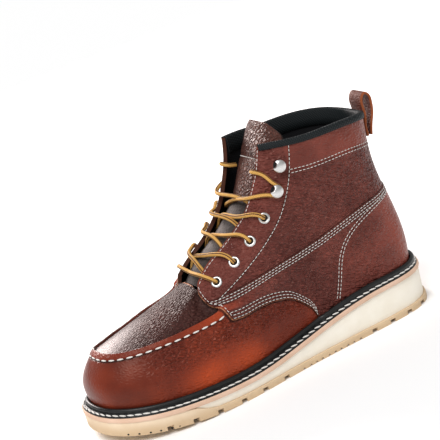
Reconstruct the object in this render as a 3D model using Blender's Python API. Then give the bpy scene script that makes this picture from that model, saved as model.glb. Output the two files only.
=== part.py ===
"""A left moc toe work boot, standing empty on its flat wedge sole.

Frame: +Z up, the toe points to -Y, +X is the boot's outer (lateral) side. The origin is on the
floor, under the middle of the sole's own box. Sizes are in millimetres, and MM makes them metres.

The upper is one hollow wall. It is swept round the foot as a ring of ribs: each rib starts at the
featherline, where upper and welt meet, climbs over the wall line and the seam line, and ends on the
top line, which runs round the collar, down the eyestay edges and across the back of the toe plug.
"""

import math

import bmesh
import bpy
import numpy as np
from mathutils import Vector
from mathutils.bvhtree import BVHTree

MM = 0.001
GAP = 0.35

# The sole's box and heights
SOLE_LENGTH = 305.0
HEEL_STACK = 32.0
BALL_STACK = 15.5
TOE_STACK = 14.5
TOE_SPRING = 9.5
SPRING_BEND = 1.9
SPRING_START = -30.0
BALL_ALONG = -35.0
HEEL_ALONG = 100.0

# The sole's layers
MIDSOLE_THICK = 3.2
TREAD_THICK = 5.5
WEDGE_NOSE = -88.0
WEDGE_NOSE_RUN = 14.0
WEDGE_NOSE_THICK = 0.25
TREAD_RISE = 14.0
MIDSOLE_EDGE_OUT = 0.6
WEDGE_EDGE_IN = 0.6
HEEL_UNDERCUT = 1.2

# The welt: a flat ledge for the stitching and a bead that hugs the upper
WELT_EDGE_IN = 0.4
LEDGE_THICK = 1.8
BEAD_HEIGHT = 5.6
BEAD_WIDTH = 3.4
BEAD_CROWN = 0.65
BEAD_FALL = 0.2
LEDGE_FALL = 0.4

# The upper's wall
WALL_THICK = 2.4
QUARTER_STEP = 1.4
SHAFT_STEP = 0.8
RIDGE_HEIGHT = 2.2
RIDGE_OUTSIDE = 1.0
RIDGE_INSIDE = 5.2
RIDGE_SHOULDER = 0.8
LAP_EDGE = 0.5
PLUG_CROWN_OUTER = 1.8
PLUG_CROWN_INNER = -1.5

# Collar binding, tongue, insole and pull loop
BINDING_THICK = 1.3
BINDING_OUTSIDE = 3.6
BINDING_INSIDE = 13.0
TONGUE_THICK = 4.5
TONGUE_EDGE_THIN = 0.55
TONGUE_BACK_WIDTH = 0.94
INSOLE_THICK = 4.0
INSOLE_EDGE_IN = 1.6
LOOP_WIDTH = 19.0
LOOP_THICK = 2.0
LOOP_STEPS = 24

# Metal
TURNED_SIDES = 10
EYELET_OUTER = 4.4
EYELET_HOLE = 2.3
EYELET_HEIGHT = 1.1
EYELET_ROUND = 1.1
HOOK_BASE = 4.0
HOOK_NECK = 2.1
HOOK_HEAD = 5.2
HOOK_HEIGHT = 7.2
HOOK_BASE_THICK = 1.0
HOOK_HEAD_THICK = 1.6
HOOK_ROUND = 0.4

# The lace
LACE_RADIUS = 1.9
LACE_SIDES = 6
LACE_CLEAR = 0.7
EYELET_CLEAR = 1.8
EDGE_CLEAR = 2.1
BAR_CLEAR = 0.55
LACE_STEPS = 10
END_STEPS = 12
CROSS_LIFT = 3.0
BAR_LIFT = 2.5
UNDER_EDGE = 5.5
UNDER_UP = 6.0
END_UP = 9.0

# The sole's outline, heel back to toe along the outer side and home along the inner side
OUTLINE = (
    # place, across, along
    ("heel back", 0.0, 152.5),
    ("heel turn, outer", 29.0, 138.5),
    ("heel side, outer", 38.5, 108.0),
    ("waist, outer", 42.0, 60.0),
    ("shank, outer", 46.5, 10.0),
    ("ball, outer", 54.0, -45.0),
    ("little toe, outer", 53.0, -90.0),
    ("toe turn, outer", 42.0, -126.0),
    ("toe front, outer", 20.0, -147.0),
    ("toe tip", -5.0, -152.5),
    ("toe front, inner", -30.5, -146.5),
    ("toe turn, inner", -46.0, -122.5),
    ("big toe, inner", -51.0, -84.0),
    ("ball, inner", -51.0, -46.0),
    ("shank, inner", -42.5, 10.0),
    ("waist, inner", -37.5, 60.0),
    ("heel side, inner", -37.0, 106.0),
    ("heel turn, inner", -28.5, 138.0),
)

# Ribs of the upper. "along" places the rib on the outline. The "in" columns are distances in from
# the sole's edge: foot at the featherline, wall at its fullest, seam at the moc seam or the side
# seam. "up" is the wall line's height over the featherline. Columns that end in _o and _i are the
# outer and inner side.
RIBS = (
    # name, along, foot_in, wall_in_o, wall_in_i, wall_up, seam_in_o, seam_in_i, seam_z_o, seam_z_i, more
    ("heel back", 152.5, 7.5, 5.6, 5.6, 24.0, 12.0, 12.0, 103.0, 103.0, 2),
    ("heel turn", 138.5, 7.5, 5.4, 5.4, 24.0, 9.4, 9.4, 101.5, 101.5, 3),
    ("heel side", 108.0, 8.0, 5.4, 4.6, 24.0, 5.2, 4.0, 100.0, 100.0, 3),
    ("ankle", 68.0, 8.5, 6.0, 4.4, 23.0, 3.6, -0.2, 94.5, 96.0, 3),
    ("shaft front", 38.0, 8.5, 6.2, 4.4, 22.0, 3.8, 0.4, 88.5, 91.0, 3),
    ("collar corner", 14.0, 8.5, 6.6, 5.0, 21.0, 5.2, 2.2, 85.0, 88.5, 3),
    ("instep", -12.0, 8.5, 6.8, 5.8, 20.0, 7.8, 4.8, 82.0, 87.0, 4),
    ("eyestay foot", -37.0, 8.5, 7.0, 6.4, 19.0, 10.4, 8.6, 69.5, 75.5, 0),
    ("throat base", -40.5, 8.5, 7.0, 6.4, 19.0, 10.4, 8.8, 67.5, 74.0, 4),
    ("ball", -74.0, 8.5, 7.0, 6.6, 18.5, 11.8, 10.0, 66.0, 67.0, 4),
    ("vamp", -104.0, 8.5, 6.2, 6.6, 18.0, 14.6, 13.6, 65.0, 62.6, 4),
    ("toe turn", -131.0, 8.5, 5.4, 6.6, 19.0, 17.6, 18.4, 64.0, 62.2, 4),
    ("toe tip", -152.5, 8.5, 6.0, 6.0, 19.5, 18.5, 18.5, 63.5, 63.5, 0),
)
THROAT_RIB = 8

# The shaft line, half way up the ribs, and the top line, for the ribs behind the throat base
SHAFT = (
    # name, mid_x, mid_y, mid_z, top_x, top_y, top_z
    ("heel back", 0.0, 137.0, 131.0, 0.0, 138.2, 165.5),
    ("heel turn", 23.5, 126.5, 132.0, 26.5, 128.5, 169.0),
    ("heel side", 34.0, 103.5, 133.0, 38.5, 103.0, 173.0),
    ("ankle", 38.0, 70.0, 131.0, 40.0, 70.0, 175.0),
    ("shaft front", 38.5, 48.0, 128.0, 36.5, 48.0, 177.8),
    ("collar corner", 37.0, 27.0, 122.0, 30.0, 33.2, 179.5),
    ("instep", 35.5, -6.0, 102.5, 20.0, -2.5, 120.8),
    ("eyestay foot", 31.0, -41.0, 80.8, 18.0, -42.2, 93.5),
)

# The eyestay's front edge, from the collar corner down to its foot
EYESTAY_EDGE = (
    # across, along, up
    (30.0, 33.2, 179.5),
    (28.0, 28.8, 164.3),
    (25.5, 20.1, 146.9),
    (23.5, 11.2, 133.2),
    (20.5, -0.2, 122.3),
    (18.0, -15.4, 111.8),
    (17.0, -33.0, 101.5),
    (18.0, -42.2, 93.5),
)
THROAT_CORNER = (17.5, -44.8, 87.3)
PLUG_BACK = (-2.0, -43.0, 89.0)

# Where the quarter's lower edge laps over the vamp, in the side view
ARCH = (
    # along, up
    (-37.0, 67.0),
    (-20.0, 70.0),
    (3.0, 67.5),
    (22.0, 60.0),
    (34.5, 49.5),
    (41.0, 35.0),
)
ARCH_END = 41.0
BEHIND_ARCH = 0.16
ARCH_LIFT_INNER = 5.0

# The tongue's middle line, its half width, its lean sideways, and the radius of its bend across, which is
# flatter on the inner side, where the tongue stands free of the eyestay
TONGUE = (
    # name, along, up, half_width, lean, bend_o, bend_i
    ("root", -42.2, 89.0, 17.0, 0.0, 40.0, 40.0),
    ("low", -33.0, 98.6, 21.0, 0.0, 37.0, 37.0),
    ("instep", -8.0, 115.0, 27.0, 0.0, 37.0, 37.0),
    ("mid", 6.0, 125.5, 29.0, 0.0, 38.0, 41.0),
    ("stitched", 19.0, 137.8, 30.0, 0.0, 40.0, 48.0),
    ("high", 28.5, 152.0, 30.0, 0.0, 42.0, 57.0),
    ("collar", 38.0, 166.5, 29.5, -0.5, 44.0, 66.0),
    ("shoulder", 46.0, 178.0, 28.5, -1.5, 46.0, 72.0),
    ("brow", 51.0, 185.0, 25.5, -3.0, 46.0, 72.0),
    ("tip", 54.0, 189.5, 17.0, -5.0, 46.0, 72.0),
)
TONGUE_PLACES = np.append(np.linspace(0.0, 0.86, 12), (0.91, 0.95, 0.98, 1.0))

# Eyelets and hooks on the outer eyestay, in the side view, lowest first
EYELETS = ((-32.0, 92.0), (-14.3, 102.0), (3.0, 112.7), (19.6, 125.6))
HOOKS = ((35.1, 142.4), (43.4, 160.6))

# The pull loop's middle line, up the outside of the heel, over the top and down again behind itself
LOOP_PATH = (
    # along, up
    (139.8, 144.5),
    (140.2, 155.0),
    (142.0, 163.0),
    (141.6, 170.0),
    (142.9, 176.4),
    (146.0, 179.0),
    (149.2, 176.4),
    (150.0, 170.0),
    (149.0, 162.5),
    (145.6, 153.5),
    (143.0, 144.5),
)

# Tread: grooves cut in from each edge, and fine ribs under the arch
GROOVE_PLACES = (136.0, 119.0, 101.0, 83.0, -6.0, -27.0, -48.0, -69.0, -90.0, -110.0)
GROOVE_WIDTH = 5.5
GROOVE_DEPTH = 3.4
GROOVE_REACH = 27.0
GROOVE_LAND = 6.0
OVERCUT = 12.0
RIB_FIRST = 12.0
RIB_PITCH = 6.2
RIB_COUNT = 10
RIB_WIDTH = 2.2
RIB_DEPTH = 1.8
RIB_REACH = 5.0

COLOURS = {
    # material: red, green, blue, roughness, metallic
    "leather": (0.17, 0.045, 0.025, 0.45, 0.0),
    "leather_tongue": (0.11, 0.045, 0.032, 0.55, 0.0),
    "welt_black": (0.015, 0.015, 0.017, 0.5, 0.0),
    "midsole_tan": (0.62, 0.40, 0.27, 0.7, 0.0),
    "wedge_white": (0.88, 0.80, 0.66, 0.75, 0.0),
    "tread_tan": (0.72, 0.55, 0.36, 0.75, 0.0),
    "lining_black": (0.02, 0.02, 0.022, 0.8, 0.0),
    "steel": (0.80, 0.80, 0.80, 0.25, 1.0),
    "lace": (0.60, 0.36, 0.10, 0.8, 0.0),
}


# Curves
def cubic(knots, rows, at, period=None):
    """A smooth cubic curve through rows at knots, read at the given places."""
    knots, rows = np.asarray(knots, float), np.asarray(rows, float)
    at = np.asarray(at, float)
    if period:
        around = 3
        knots = np.concatenate([knots[-around:] - period, knots, knots[: around + 1] + period])
        rows = np.concatenate([rows[-around:], rows, rows[: around + 1]])
    steps = np.diff(knots)
    slopes = np.diff(rows, axis=0) / steps[:, None]
    count = len(knots)
    matrix, right = np.eye(count), np.zeros_like(rows)
    for i in range(1, count - 1):
        matrix[i, i - 1 : i + 2] = steps[i - 1], 2 * (steps[i - 1] + steps[i]), steps[i]
        right[i] = 6 * (slopes[i] - slopes[i - 1])
    bends = np.linalg.solve(matrix, right)
    i = np.clip(np.searchsorted(knots, at, side="right") - 1, 0, count - 2)
    h, near, far = steps[i][:, None], (at - knots[i])[:, None], (knots[i + 1] - at)[:, None]
    return (
        (bends[i] * far**3 + bends[i + 1] * near**3) / (6 * h)
        + (rows[i] / h - bends[i] * h / 6) * far
        + (rows[i + 1] / h - bends[i + 1] * h / 6) * near
    )


def steady(knots, values, at, period):
    """A closed curve through values at knots that never swings past its neighbours."""
    knots = np.concatenate([[knots[-1] - period], knots, np.array(knots[:2]) + period])
    values = np.concatenate([[values[-1]], values, values[:2]])
    steps = np.diff(knots)
    slopes = np.diff(values) / steps
    same = slopes[:-1] * slopes[1:] > 0
    mean = np.zeros(len(same))
    near, far = 2 * steps[1:] + steps[:-1], steps[1:] + 2 * steps[:-1]
    mean[same] = (near + far)[same] / (near[same] / slopes[:-1][same] + far[same] / slopes[1:][same])
    lean = np.concatenate([[0.0], mean, [0.0]])
    i = np.clip(np.searchsorted(knots, at, side="right") - 1, 0, len(steps) - 1)
    h, u = steps[i], (at - knots[i]) / steps[i]
    blend = u * u * (3 - 2 * u)
    ends = values[i] * (1 - blend) + values[i + 1] * blend
    return ends + h * u * (1 - u) * (lean[i] * (1 - u) - lean[i + 1] * u)


def chords(rows):
    """Distance run along a row of points."""
    return np.concatenate([[0.0], np.cumsum(np.linalg.norm(np.diff(rows, axis=0), axis=1))])


def ease(x):
    x = np.clip(x, 0.0, 1.0)
    return x * x * (3 - 2 * x)


# The sole's outline as a closed curve of place t, from 0 at the heel back round to 1
def make_outline(samples=720):
    rows = np.array([row[1:] for row in OUTLINE])
    knots = chords(np.vstack([rows, rows[:1]]))
    knots /= knots[-1]
    places = np.arange(samples) / samples
    points = cubic(knots[:-1], rows, places, period=1.0)
    points -= (points.max(axis=0) + points.min(axis=0)) / 2
    points[:, 1] *= SOLE_LENGTH / np.ptp(points[:, 1])
    return places, points


PLACES, EDGE = make_outline()
TOE_PLACE = PLACES[EDGE[:, 1].argmin()]
HEEL_PLACE = PLACES[EDGE[:, 1].argmax()]


def edge_at(places, inset=0.0):
    """Points on the sole's edge, moved in by inset (one number or one for each place)."""
    places = np.mod(np.asarray(places, float), 1.0)
    ring = np.vstack([EDGE, EDGE[:1]])
    knots = np.append(PLACES, 1.0)
    turn = np.roll(EDGE, -1, axis=0) - np.roll(EDGE, 1, axis=0)
    turn = np.vstack([turn, turn[:1]])
    point = np.stack([np.interp(places, knots, ring[:, i]) for i in range(2)], axis=1)
    run = np.stack([np.interp(places, knots, turn[:, i]) for i in range(2)], axis=1)
    run /= np.linalg.norm(run, axis=1)[:, None]
    inward = np.stack([run[:, 1], -run[:, 0]], axis=1)
    return point + inward * np.broadcast_to(np.asarray(inset, float), len(places))[:, None]


def place_of(along, outer):
    """The outline's place at a distance along the boot, on its outer or inner side."""
    if outer:
        side = (PLACES >= 0) & (PLACES <= TOE_PLACE)
    else:
        side = PLACES >= TOE_PLACE
    candidates, points = PLACES[side], EDGE[side]
    return candidates[np.abs(points[:, 1] - along).argmin()]


# Heights along the boot
def floor_z(along):
    """The tread's face: flat from the heel to the ball, then up with the toe spring."""
    run = np.clip((SPRING_START - along) / (SPRING_START + SOLE_LENGTH / 2), 0.0, None)
    return TOE_SPRING * run**SPRING_BEND


def sole_top_z(along):
    """The top of the midsole, under the welt and the insole."""
    to_heel = ease((along - BALL_ALONG) / (HEEL_ALONG - BALL_ALONG))
    to_toe = np.clip((BALL_ALONG - along) / (SOLE_LENGTH / 2 + BALL_ALONG), 0.0, 1.0)
    stack = BALL_STACK + (HEEL_STACK - BALL_STACK) * to_heel + (TOE_STACK - BALL_STACK) * to_toe
    return floor_z(along) + stack


def midsole_bottom_z(along):
    return sole_top_z(along) - MIDSOLE_THICK


def wedge_bottom_z(along):
    """The wedge stands on the tread and thins to a nose under the ball."""
    top = midsole_bottom_z(along) - GAP
    full = np.maximum(top - floor_z(along) - TREAD_THICK, WEDGE_NOSE_THICK)
    share = np.clip((along - WEDGE_NOSE) / WEDGE_NOSE_RUN, 0.0, 1.0)
    return top - WEDGE_NOSE_THICK - (full - WEDGE_NOSE_THICK) * share


def tread_top_z(along):
    """Under the wedge, and in front of its nose up to the midsole."""
    ahead = ease((WEDGE_NOSE - along) / TREAD_RISE)
    return wedge_bottom_z(along) - GAP + (WEDGE_NOSE_THICK + GAP) * ahead


# Meshes
def make_material(name):
    red, green, blue, roughness, metallic = COLOURS[name]
    material = bpy.data.materials.new(name)
    material.use_nodes = True
    shader = material.node_tree.nodes["Principled BSDF"]
    shader.inputs["Base Color"].default_value = (red, green, blue, 1.0)
    shader.inputs["Roughness"].default_value = roughness
    shader.inputs["Metallic"].default_value = metallic
    material.diffuse_color = (red, green, blue, 1.0)
    return material


MATERIALS = {}


def add_object(name, bm, material, smooth_angle=40.0):
    mesh = bpy.data.meshes.new(name)
    bm.to_mesh(mesh)
    bm.free()
    mesh.shade_smooth()
    mesh.set_sharp_from_angle(angle=math.radians(smooth_angle))
    mesh.materials.append(MATERIALS[material])
    obj = bpy.data.objects.new(name, mesh)
    bpy.context.scene.collection.objects.link(obj)
    return obj


def sweep(sections, closed):
    """A solid through closed sections of equal count, as a ring or with capped ends."""
    bm = bmesh.new()
    rings = [[bm.verts.new(Vector(point) * MM) for point in section] for section in sections]
    pairs = list(zip(rings, rings[1:] + rings[:1])) if closed else list(zip(rings, rings[1:]))
    for one, two in pairs:
        for i in range(len(one)):
            j = (i + 1) % len(one)
            bm.faces.new((one[i], one[j], two[j], two[i]))
    if not closed:
        bm.faces.new(rings[0])
        bm.faces.new(rings[-1])
    bmesh.ops.remove_doubles(bm, verts=bm.verts, dist=0.00001)
    bmesh.ops.dissolve_degenerate(bm, edges=bm.edges, dist=0.00001)
    bmesh.ops.recalc_face_normals(bm, faces=bm.faces)
    return bm


def cut(target, cutter, operation="DIFFERENCE"):
    cutter.hide_render = True
    cutter.display_type = "WIRE"
    modifier = target.modifiers.new(operation.lower(), "BOOLEAN")
    modifier.operation = operation
    modifier.object = cutter


# The sole
LADDER_STEPS = 40


def ladder_places():
    return HEEL_PLACE + (TOE_PLACE - HEEL_PLACE) * np.arange(LADDER_STEPS + 1) / LADDER_STEPS


def inner_places(along):
    """Places on the inner side, level with distances along the boot."""
    chain = PLACES >= TOE_PLACE
    knots = np.append(EDGE[chain, 1], EDGE[0, 1])
    return np.interp(along, knots, np.append(PLACES[chain], 1.0))


def ladder(inset, top, bottom, last=LADDER_STEPS, bottom_inset=None):
    """Sections across a sole layer: outer and inner edge, top and bottom, heel to toe."""
    bottom_inset = inset if bottom_inset is None else bottom_inset
    outer = ladder_places()[: last + 1]
    inner = inner_places(edge_at(outer)[:, 1])
    sections = []
    for t_outer, t_inner in zip(outer, inner):
        corners = []
        for t, edge_in, height in (
            (t_outer, inset, top),
            (t_inner, inset, top),
            (t_inner, bottom_inset, bottom),
            (t_outer, bottom_inset, bottom),
        ):
            x, y = edge_at([t], edge_in)[0]
            corners.append((x, y, float(height(np.array(y)))))
        sections.append(corners)
    return sections


def wedge_last_step():
    """The ladder step where the wedge's nose ends."""
    return int(np.flatnonzero(edge_at(ladder_places())[:, 1] >= WEDGE_NOSE)[-1])


def groove_boxes():
    """Cutters for the tread: (along, width, depth, reach) in from both edges."""
    boxes = [(along, GROOVE_WIDTH, GROOVE_DEPTH, GROOVE_REACH) for along in GROOVE_PLACES]
    for i in range(RIB_COUNT):
        boxes.append((RIB_FIRST + i * RIB_PITCH, RIB_WIDTH, RIB_DEPTH, RIB_REACH))
    return boxes


def make_tread():
    tread = add_object("outsole", sweep(ladder(0.0, tread_top_z, floor_z), False), "tread_tan")
    bm = bmesh.new()
    for along, width, depth, reach in groove_boxes():
        for outer in (True, False):
            x, y = edge_at([place_of(along, outer)])[0]
            side = 1.0 if outer else -1.0
            long = min(reach, abs(x) - GROOVE_LAND)
            face = float(floor_z(np.array(y)))
            middle = (x + side * (OVERCUT - long) / 2, y, face + (depth - OVERCUT) / 2)
            made = bmesh.ops.create_cube(bm, size=MM)["verts"]
            bmesh.ops.scale(bm, verts=made, vec=(long + OVERCUT, width, depth + OVERCUT))
            bmesh.ops.translate(bm, verts=made, vec=Vector(middle) * MM)
    grooves = add_object("tread_grooves", bm, "tread_tan")
    cut(tread, grooves)


def make_sole():
    make_tread()
    wedge = ladder(
        WEDGE_EDGE_IN,
        lambda y: midsole_bottom_z(y) - GAP,
        wedge_bottom_z,
        last=wedge_last_step(),
        bottom_inset=WEDGE_EDGE_IN + HEEL_UNDERCUT,
    )
    add_object("wedge", sweep(wedge, False), "wedge_white")
    midsole = ladder(-MIDSOLE_EDGE_OUT, sole_top_z, midsole_bottom_z)
    add_object("midsole", sweep(midsole, False), "midsole_tan")


# The upper
class Upper:
    """The wall's ribs: outer and inner rows for each place round the boot."""

    ROWS = 14
    INNER_ROWS = (0, 1, 2, 5, 8, 10, 12, 13)

    def __init__(self):
        self.stations = self.make_stations()
        self.places = self.make_places()
        self.foot, self.wall, self.seam, self.shaft, self.top = self.feature_lines()
        self.front = self.front_weight()
        self.base = self.make_base()
        self.normal = self.make_normals()
        self.outer = self.base + self.normal * self.relief()[:, :, None]
        self.inner = self.base - self.normal * WALL_THICK
        for wall in (self.outer, self.inner):
            wall[:, 0, 2] = sole_top_z(wall[:, 0, 1]) + GAP

    def make_stations(self):
        """Place on the outline of each row of RIBS, outer side then inner side, heel to heel."""
        outer = [place_of(row[1], True) for row in RIBS]
        inner = [place_of(row[1], False) for row in RIBS]
        outer[0], outer[-1] = HEEL_PLACE, TOE_PLACE
        return outer + inner[-2:0:-1]

    def make_places(self):
        """Places of all ribs: each stretch between stations is split as the last column says."""
        knots = self.stations + [self.stations[0] + 1.0]
        more = [row[-1] for row in RIBS[:-1]]
        more = more + more[::-1]
        places = []
        for start, end, count in zip(knots, knots[1:], more):
            places += [start + (end - start) * i / (count + 1) for i in range(count + 1)]
        return np.array(places)

    def side_rows(self):
        """RIBS once round the boot, with each side's own columns: (row, shaft row, sign)."""
        last = len(RIBS) - 1
        order = list(range(last + 1)) + list(range(last - 1, 0, -1))
        return [(RIBS[i], i, 1.0 if n <= last else -1.0) for n, i in enumerate(order)]

    def column(self, outer_column, inner_column):
        """A column of RIBS read at every rib, each side with its own."""
        values = [row[outer_column if side > 0 else inner_column] for row, _, side in self.side_rows()]
        return steady(self.stations, np.array(values), self.places, 1.0)

    def feature_lines(self):
        """Featherline, wall line, seam line, shaft line and top line at every rib."""
        base = edge_at(self.places, self.column(2, 2))
        floor = sole_top_z(base[:, 1]) + GAP
        foot = np.column_stack([base, floor])
        wall = np.column_stack([edge_at(self.places, self.column(3, 4)), floor + self.column(5, 5)])
        seam = np.column_stack([edge_at(self.places, self.column(6, 7)), self.column(8, 9)])
        shaft, top = [], []
        for n, (_, i, side) in enumerate(self.side_rows()):
            if i < THROAT_RIB:
                _, mid_x, mid_y, mid_z, top_x, top_y, top_z = SHAFT[i]
                shaft.append((side * mid_x, mid_y, mid_z))
                top.append((side * top_x, top_y, top_z))
                continue
            share = self.along_front(i) / self.along_front(THROAT_RIB)
            back, corner = np.array(PLUG_BACK), np.array(THROAT_CORNER) * (side, 1.0, 1.0)
            end = back + (corner - back) * (share, share**2, share**2)
            crown = PLUG_CROWN_OUTER
            if side < 0:
                crown += (PLUG_CROWN_INNER - PLUG_CROWN_OUTER) * share
            at_seam = seam[np.abs(self.places - self.stations[n]).argmin()]
            shaft.append((at_seam + end) / 2 + (0.0, 0.0, crown))
            top.append(end)
        shaft = cubic(self.stations, shaft, self.places, period=1.0)
        return foot, wall, seam, shaft, self.top_line(np.array(top))

    def along_front(self, i):
        """How far rib i of RIBS is from the toe tip, along the outer edge."""
        return TOE_PLACE - self.stations[i]

    def top_line(self, ends):
        """The top line in pieces, with sharp corners at the collar corner and the throat base."""
        corner = [row[0] for row in RIBS].index("collar corner")
        last = len(RIBS) - 1
        knots = np.array(self.stations)
        line = np.zeros((len(self.places), 3))
        around = len(self.stations)
        for side in (1.0, -1.0):
            index = [i if side > 0 else (around - i) % around for i in range(last + 1)]
            t = np.array([knots[i] for i in index])
            if side < 0:
                t[0] = knots[0] + 1.0
            rows = ends[index]
            if side > 0:
                mine = (self.places >= t[0] - 1e-9) & (self.places <= t[-1] + 1e-9)
            else:
                mine = self.places > t[-1] + 1e-9
            at = self.places[mine]
            run, knot = (at - t[0]) * side, (t - t[0]) * side
            order = np.argsort(run)
            made = np.zeros((len(at), 3))
            made[order] = self.top_pieces(run[order], knot, rows, corner, side)
            line[mine] = made
        return line

    def top_pieces(self, run, knot, rows, corner, side):
        mirror = np.array([side, 1.0, 1.0])
        eyestay = np.array(EYESTAY_EDGE) * mirror
        eyestay_knots = chords(eyestay)
        collar = np.vstack([rows[1] * (-1, 1, 1), rows[: corner + 1]])
        collar_knots = np.concatenate([[-knot[1]], knot[: corner + 1]])
        made = cubic(collar_knots, collar, run)
        on_eyestay = (run > knot[corner]) & (run <= knot[THROAT_RIB - 1])
        share = (run - knot[corner]) / (knot[THROAT_RIB - 1] - knot[corner])
        made[on_eyestay] = cubic(eyestay_knots, eyestay, share[on_eyestay] * eyestay_knots[-1])
        on_lap = (run > knot[THROAT_RIB - 1]) & (run < knot[THROAT_RIB])
        lap = (run[on_lap] - knot[THROAT_RIB - 1]) / (knot[THROAT_RIB] - knot[THROAT_RIB - 1])
        made[on_lap] = rows[THROAT_RIB - 1] + (rows[THROAT_RIB] - rows[THROAT_RIB - 1]) * lap[:, None]
        on_plug = run >= knot[THROAT_RIB]
        for axis in range(3):
            made[on_plug, axis] = np.interp(run[on_plug], knot[THROAT_RIB:], rows[THROAT_RIB:, axis])
        return made

    def front_weight(self):
        """1 on the ribs of the moc toe, 0 on those of the quarters."""
        t = self.places
        outer_back, outer_front = self.stations[THROAT_RIB - 1], self.stations[THROAT_RIB]
        around = len(self.stations)
        inner_back, inner_front = self.stations[around - THROAT_RIB + 1], self.stations[around - THROAT_RIB]
        rising = (t - outer_back) / (outer_front - outer_back)
        falling = (inner_back - t) / (inner_back - inner_front)
        return np.clip(np.minimum(rising, falling), 0.0, 1.0)

    def rib(self, i, params):
        """Points on rib i: 0 at the featherline, 0.5 at the seam line, 1 at the top line."""
        points = np.array([self.foot[i], self.wall[i], self.seam[i], self.shaft[i], self.top[i]])
        run = chords(points)
        low, high = run[2], run[-1] - run[2]
        params = np.asarray(params, float)
        along = np.where(params <= 0.5, params * 2 * low, low + (params - 0.5) * 2 * high)
        smooth = cubic(run, points, along)
        below = cubic(run[:3], points[:3], along)
        above = cubic(run[2:], points[2:], along)
        folded = np.where((params <= 0.5)[:, None], below, above)
        return smooth + (folded - smooth) * self.front[i]

    def lap_param(self, i):
        """Where rib i crosses the quarter's lower edge."""
        along = self.foot[i][1]
        if along >= ARCH_END:
            return BEHIND_ARCH
        arch = np.array(ARCH)
        lift = 0.0 if self.foot[i][0] > 0 else ARCH_LIFT_INNER
        height = cubic(arch[:, 0], arch[:, 1:], [max(along, arch[0, 0])])[0, 0] + lift
        params = np.linspace(0.0, 0.47, 120)
        heights = self.rib(i, params)[:, 2]
        return float(np.interp(height, heights, params))

    def row_params(self, i):
        points = np.array([self.foot[i], self.wall[i], self.seam[i], self.shaft[i], self.top[i]])
        run = chords(points)
        per_low, per_high = 0.5 / run[2], 0.5 / (run[-1] - run[2])
        out, inside = RIDGE_OUTSIDE * per_low, RIDGE_INSIDE * per_high
        foot = 0.5 - out
        toe = [0.0, foot / 3, foot * 2 / 3, foot, 0.5 - out * RIDGE_SHOULDER, 0.5]
        toe += [0.5 + inside * RIDGE_SHOULDER, 0.5 + inside]
        toe += list(np.linspace(0.5 + inside, 1.0, 7)[1:])
        lap, edge = self.lap_param(i), LAP_EDGE * per_low
        side = [0.0, lap / 3, lap * 2 / 3, lap - edge, lap + edge, (lap + 0.5) / 2]
        side += [0.5 - edge, 0.5 + LAP_EDGE * per_high]
        side += list(np.linspace(0.5 + LAP_EDGE * per_high, 1.0, 7)[1:])
        return np.array(side) + (np.array(toe) - np.array(side)) * self.front[i]

    def make_base(self):
        return np.array([self.rib(i, self.row_params(i)) for i in range(len(self.places))])

    def make_normals(self):
        around = np.roll(self.base, -1, axis=0) - np.roll(self.base, 1, axis=0)
        up = np.gradient(self.base, axis=1)
        up[:, :5] = (self.base[:, 5] - self.base[:, 0])[:, None]
        normal = np.cross(up, around)
        return normal / np.linalg.norm(normal, axis=2)[:, :, None]

    def relief(self):
        """How far each row stands out from the base: the moc ridge, and the quarters' laps."""
        ridge = np.zeros(self.ROWS)
        ridge[4:7] = RIDGE_SHOULDER * RIDGE_HEIGHT, RIDGE_HEIGHT, RIDGE_SHOULDER * RIDGE_HEIGHT
        quarter = np.zeros(self.ROWS)
        quarter[4:7] = QUARTER_STEP
        quarter[7:] = SHAFT_STEP
        made = quarter + (ridge - quarter) * self.front[:, None]
        behind = self.foot[:, 1] >= ARCH_END
        made[behind, :4] = QUARTER_STEP
        return made

    def sections(self):
        inner = self.inner[:, list(self.INNER_ROWS)]
        return [list(out) + list(inn[::-1]) for out, inn in zip(self.outer, inner)]

    def outside_at(self, i, height):
        """The outer wall of rib i at a height over its foot."""
        rows = self.outer[i]
        z = rows[0, 2] + height
        return np.array([np.interp(z, rows[:8, 2], rows[:8, axis]) for axis in range(2)] + [z])

    def from_top(self, i, drop, inside):
        """The wall of rib i a distance below its top end, with its outward normal."""
        rows = (self.inner if inside else self.outer)[i][::-1]
        run = chords(rows)
        point = np.array([np.interp(drop, run, rows[:, axis]) for axis in range(3)])
        normal = np.array([np.interp(drop, run, self.normal[i][::-1, axis]) for axis in range(3)])
        return point, normal / np.linalg.norm(normal)


def make_upper(upper):
    bm = sweep(upper.sections(), True)
    upper.tree = BVHTree.FromBMesh(bm)
    add_object("upper", bm, "leather")


def make_welt(upper):
    """A ring on the midsole: the ledge for the stitches and the bead against the upper."""
    sections = []
    for i, t in enumerate(upper.places):
        out = edge_at([t], -1.0)[0] - edge_at([t], 0.0)[0]
        levels = (0.0, LEDGE_THICK, BEAD_HEIGHT)
        section = [(upper.outside_at(i, height)[:2] + out * GAP, height) for height in levels]
        inner = section[-1][0]
        section.append((inner + out * BEAD_WIDTH * BEAD_CROWN, BEAD_HEIGHT - BEAD_FALL))
        section.append((inner + out * BEAD_WIDTH, LEDGE_THICK))
        edge = edge_at([t], WELT_EDGE_IN)[0]
        section += [(edge, LEDGE_THICK - LEDGE_FALL), (edge, 0.0)]
        sections.append([(*at, float(sole_top_z(at[1])) + GAP + height) for at, height in section])
    add_object("welt", sweep(sections, True), "welt_black")


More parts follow.
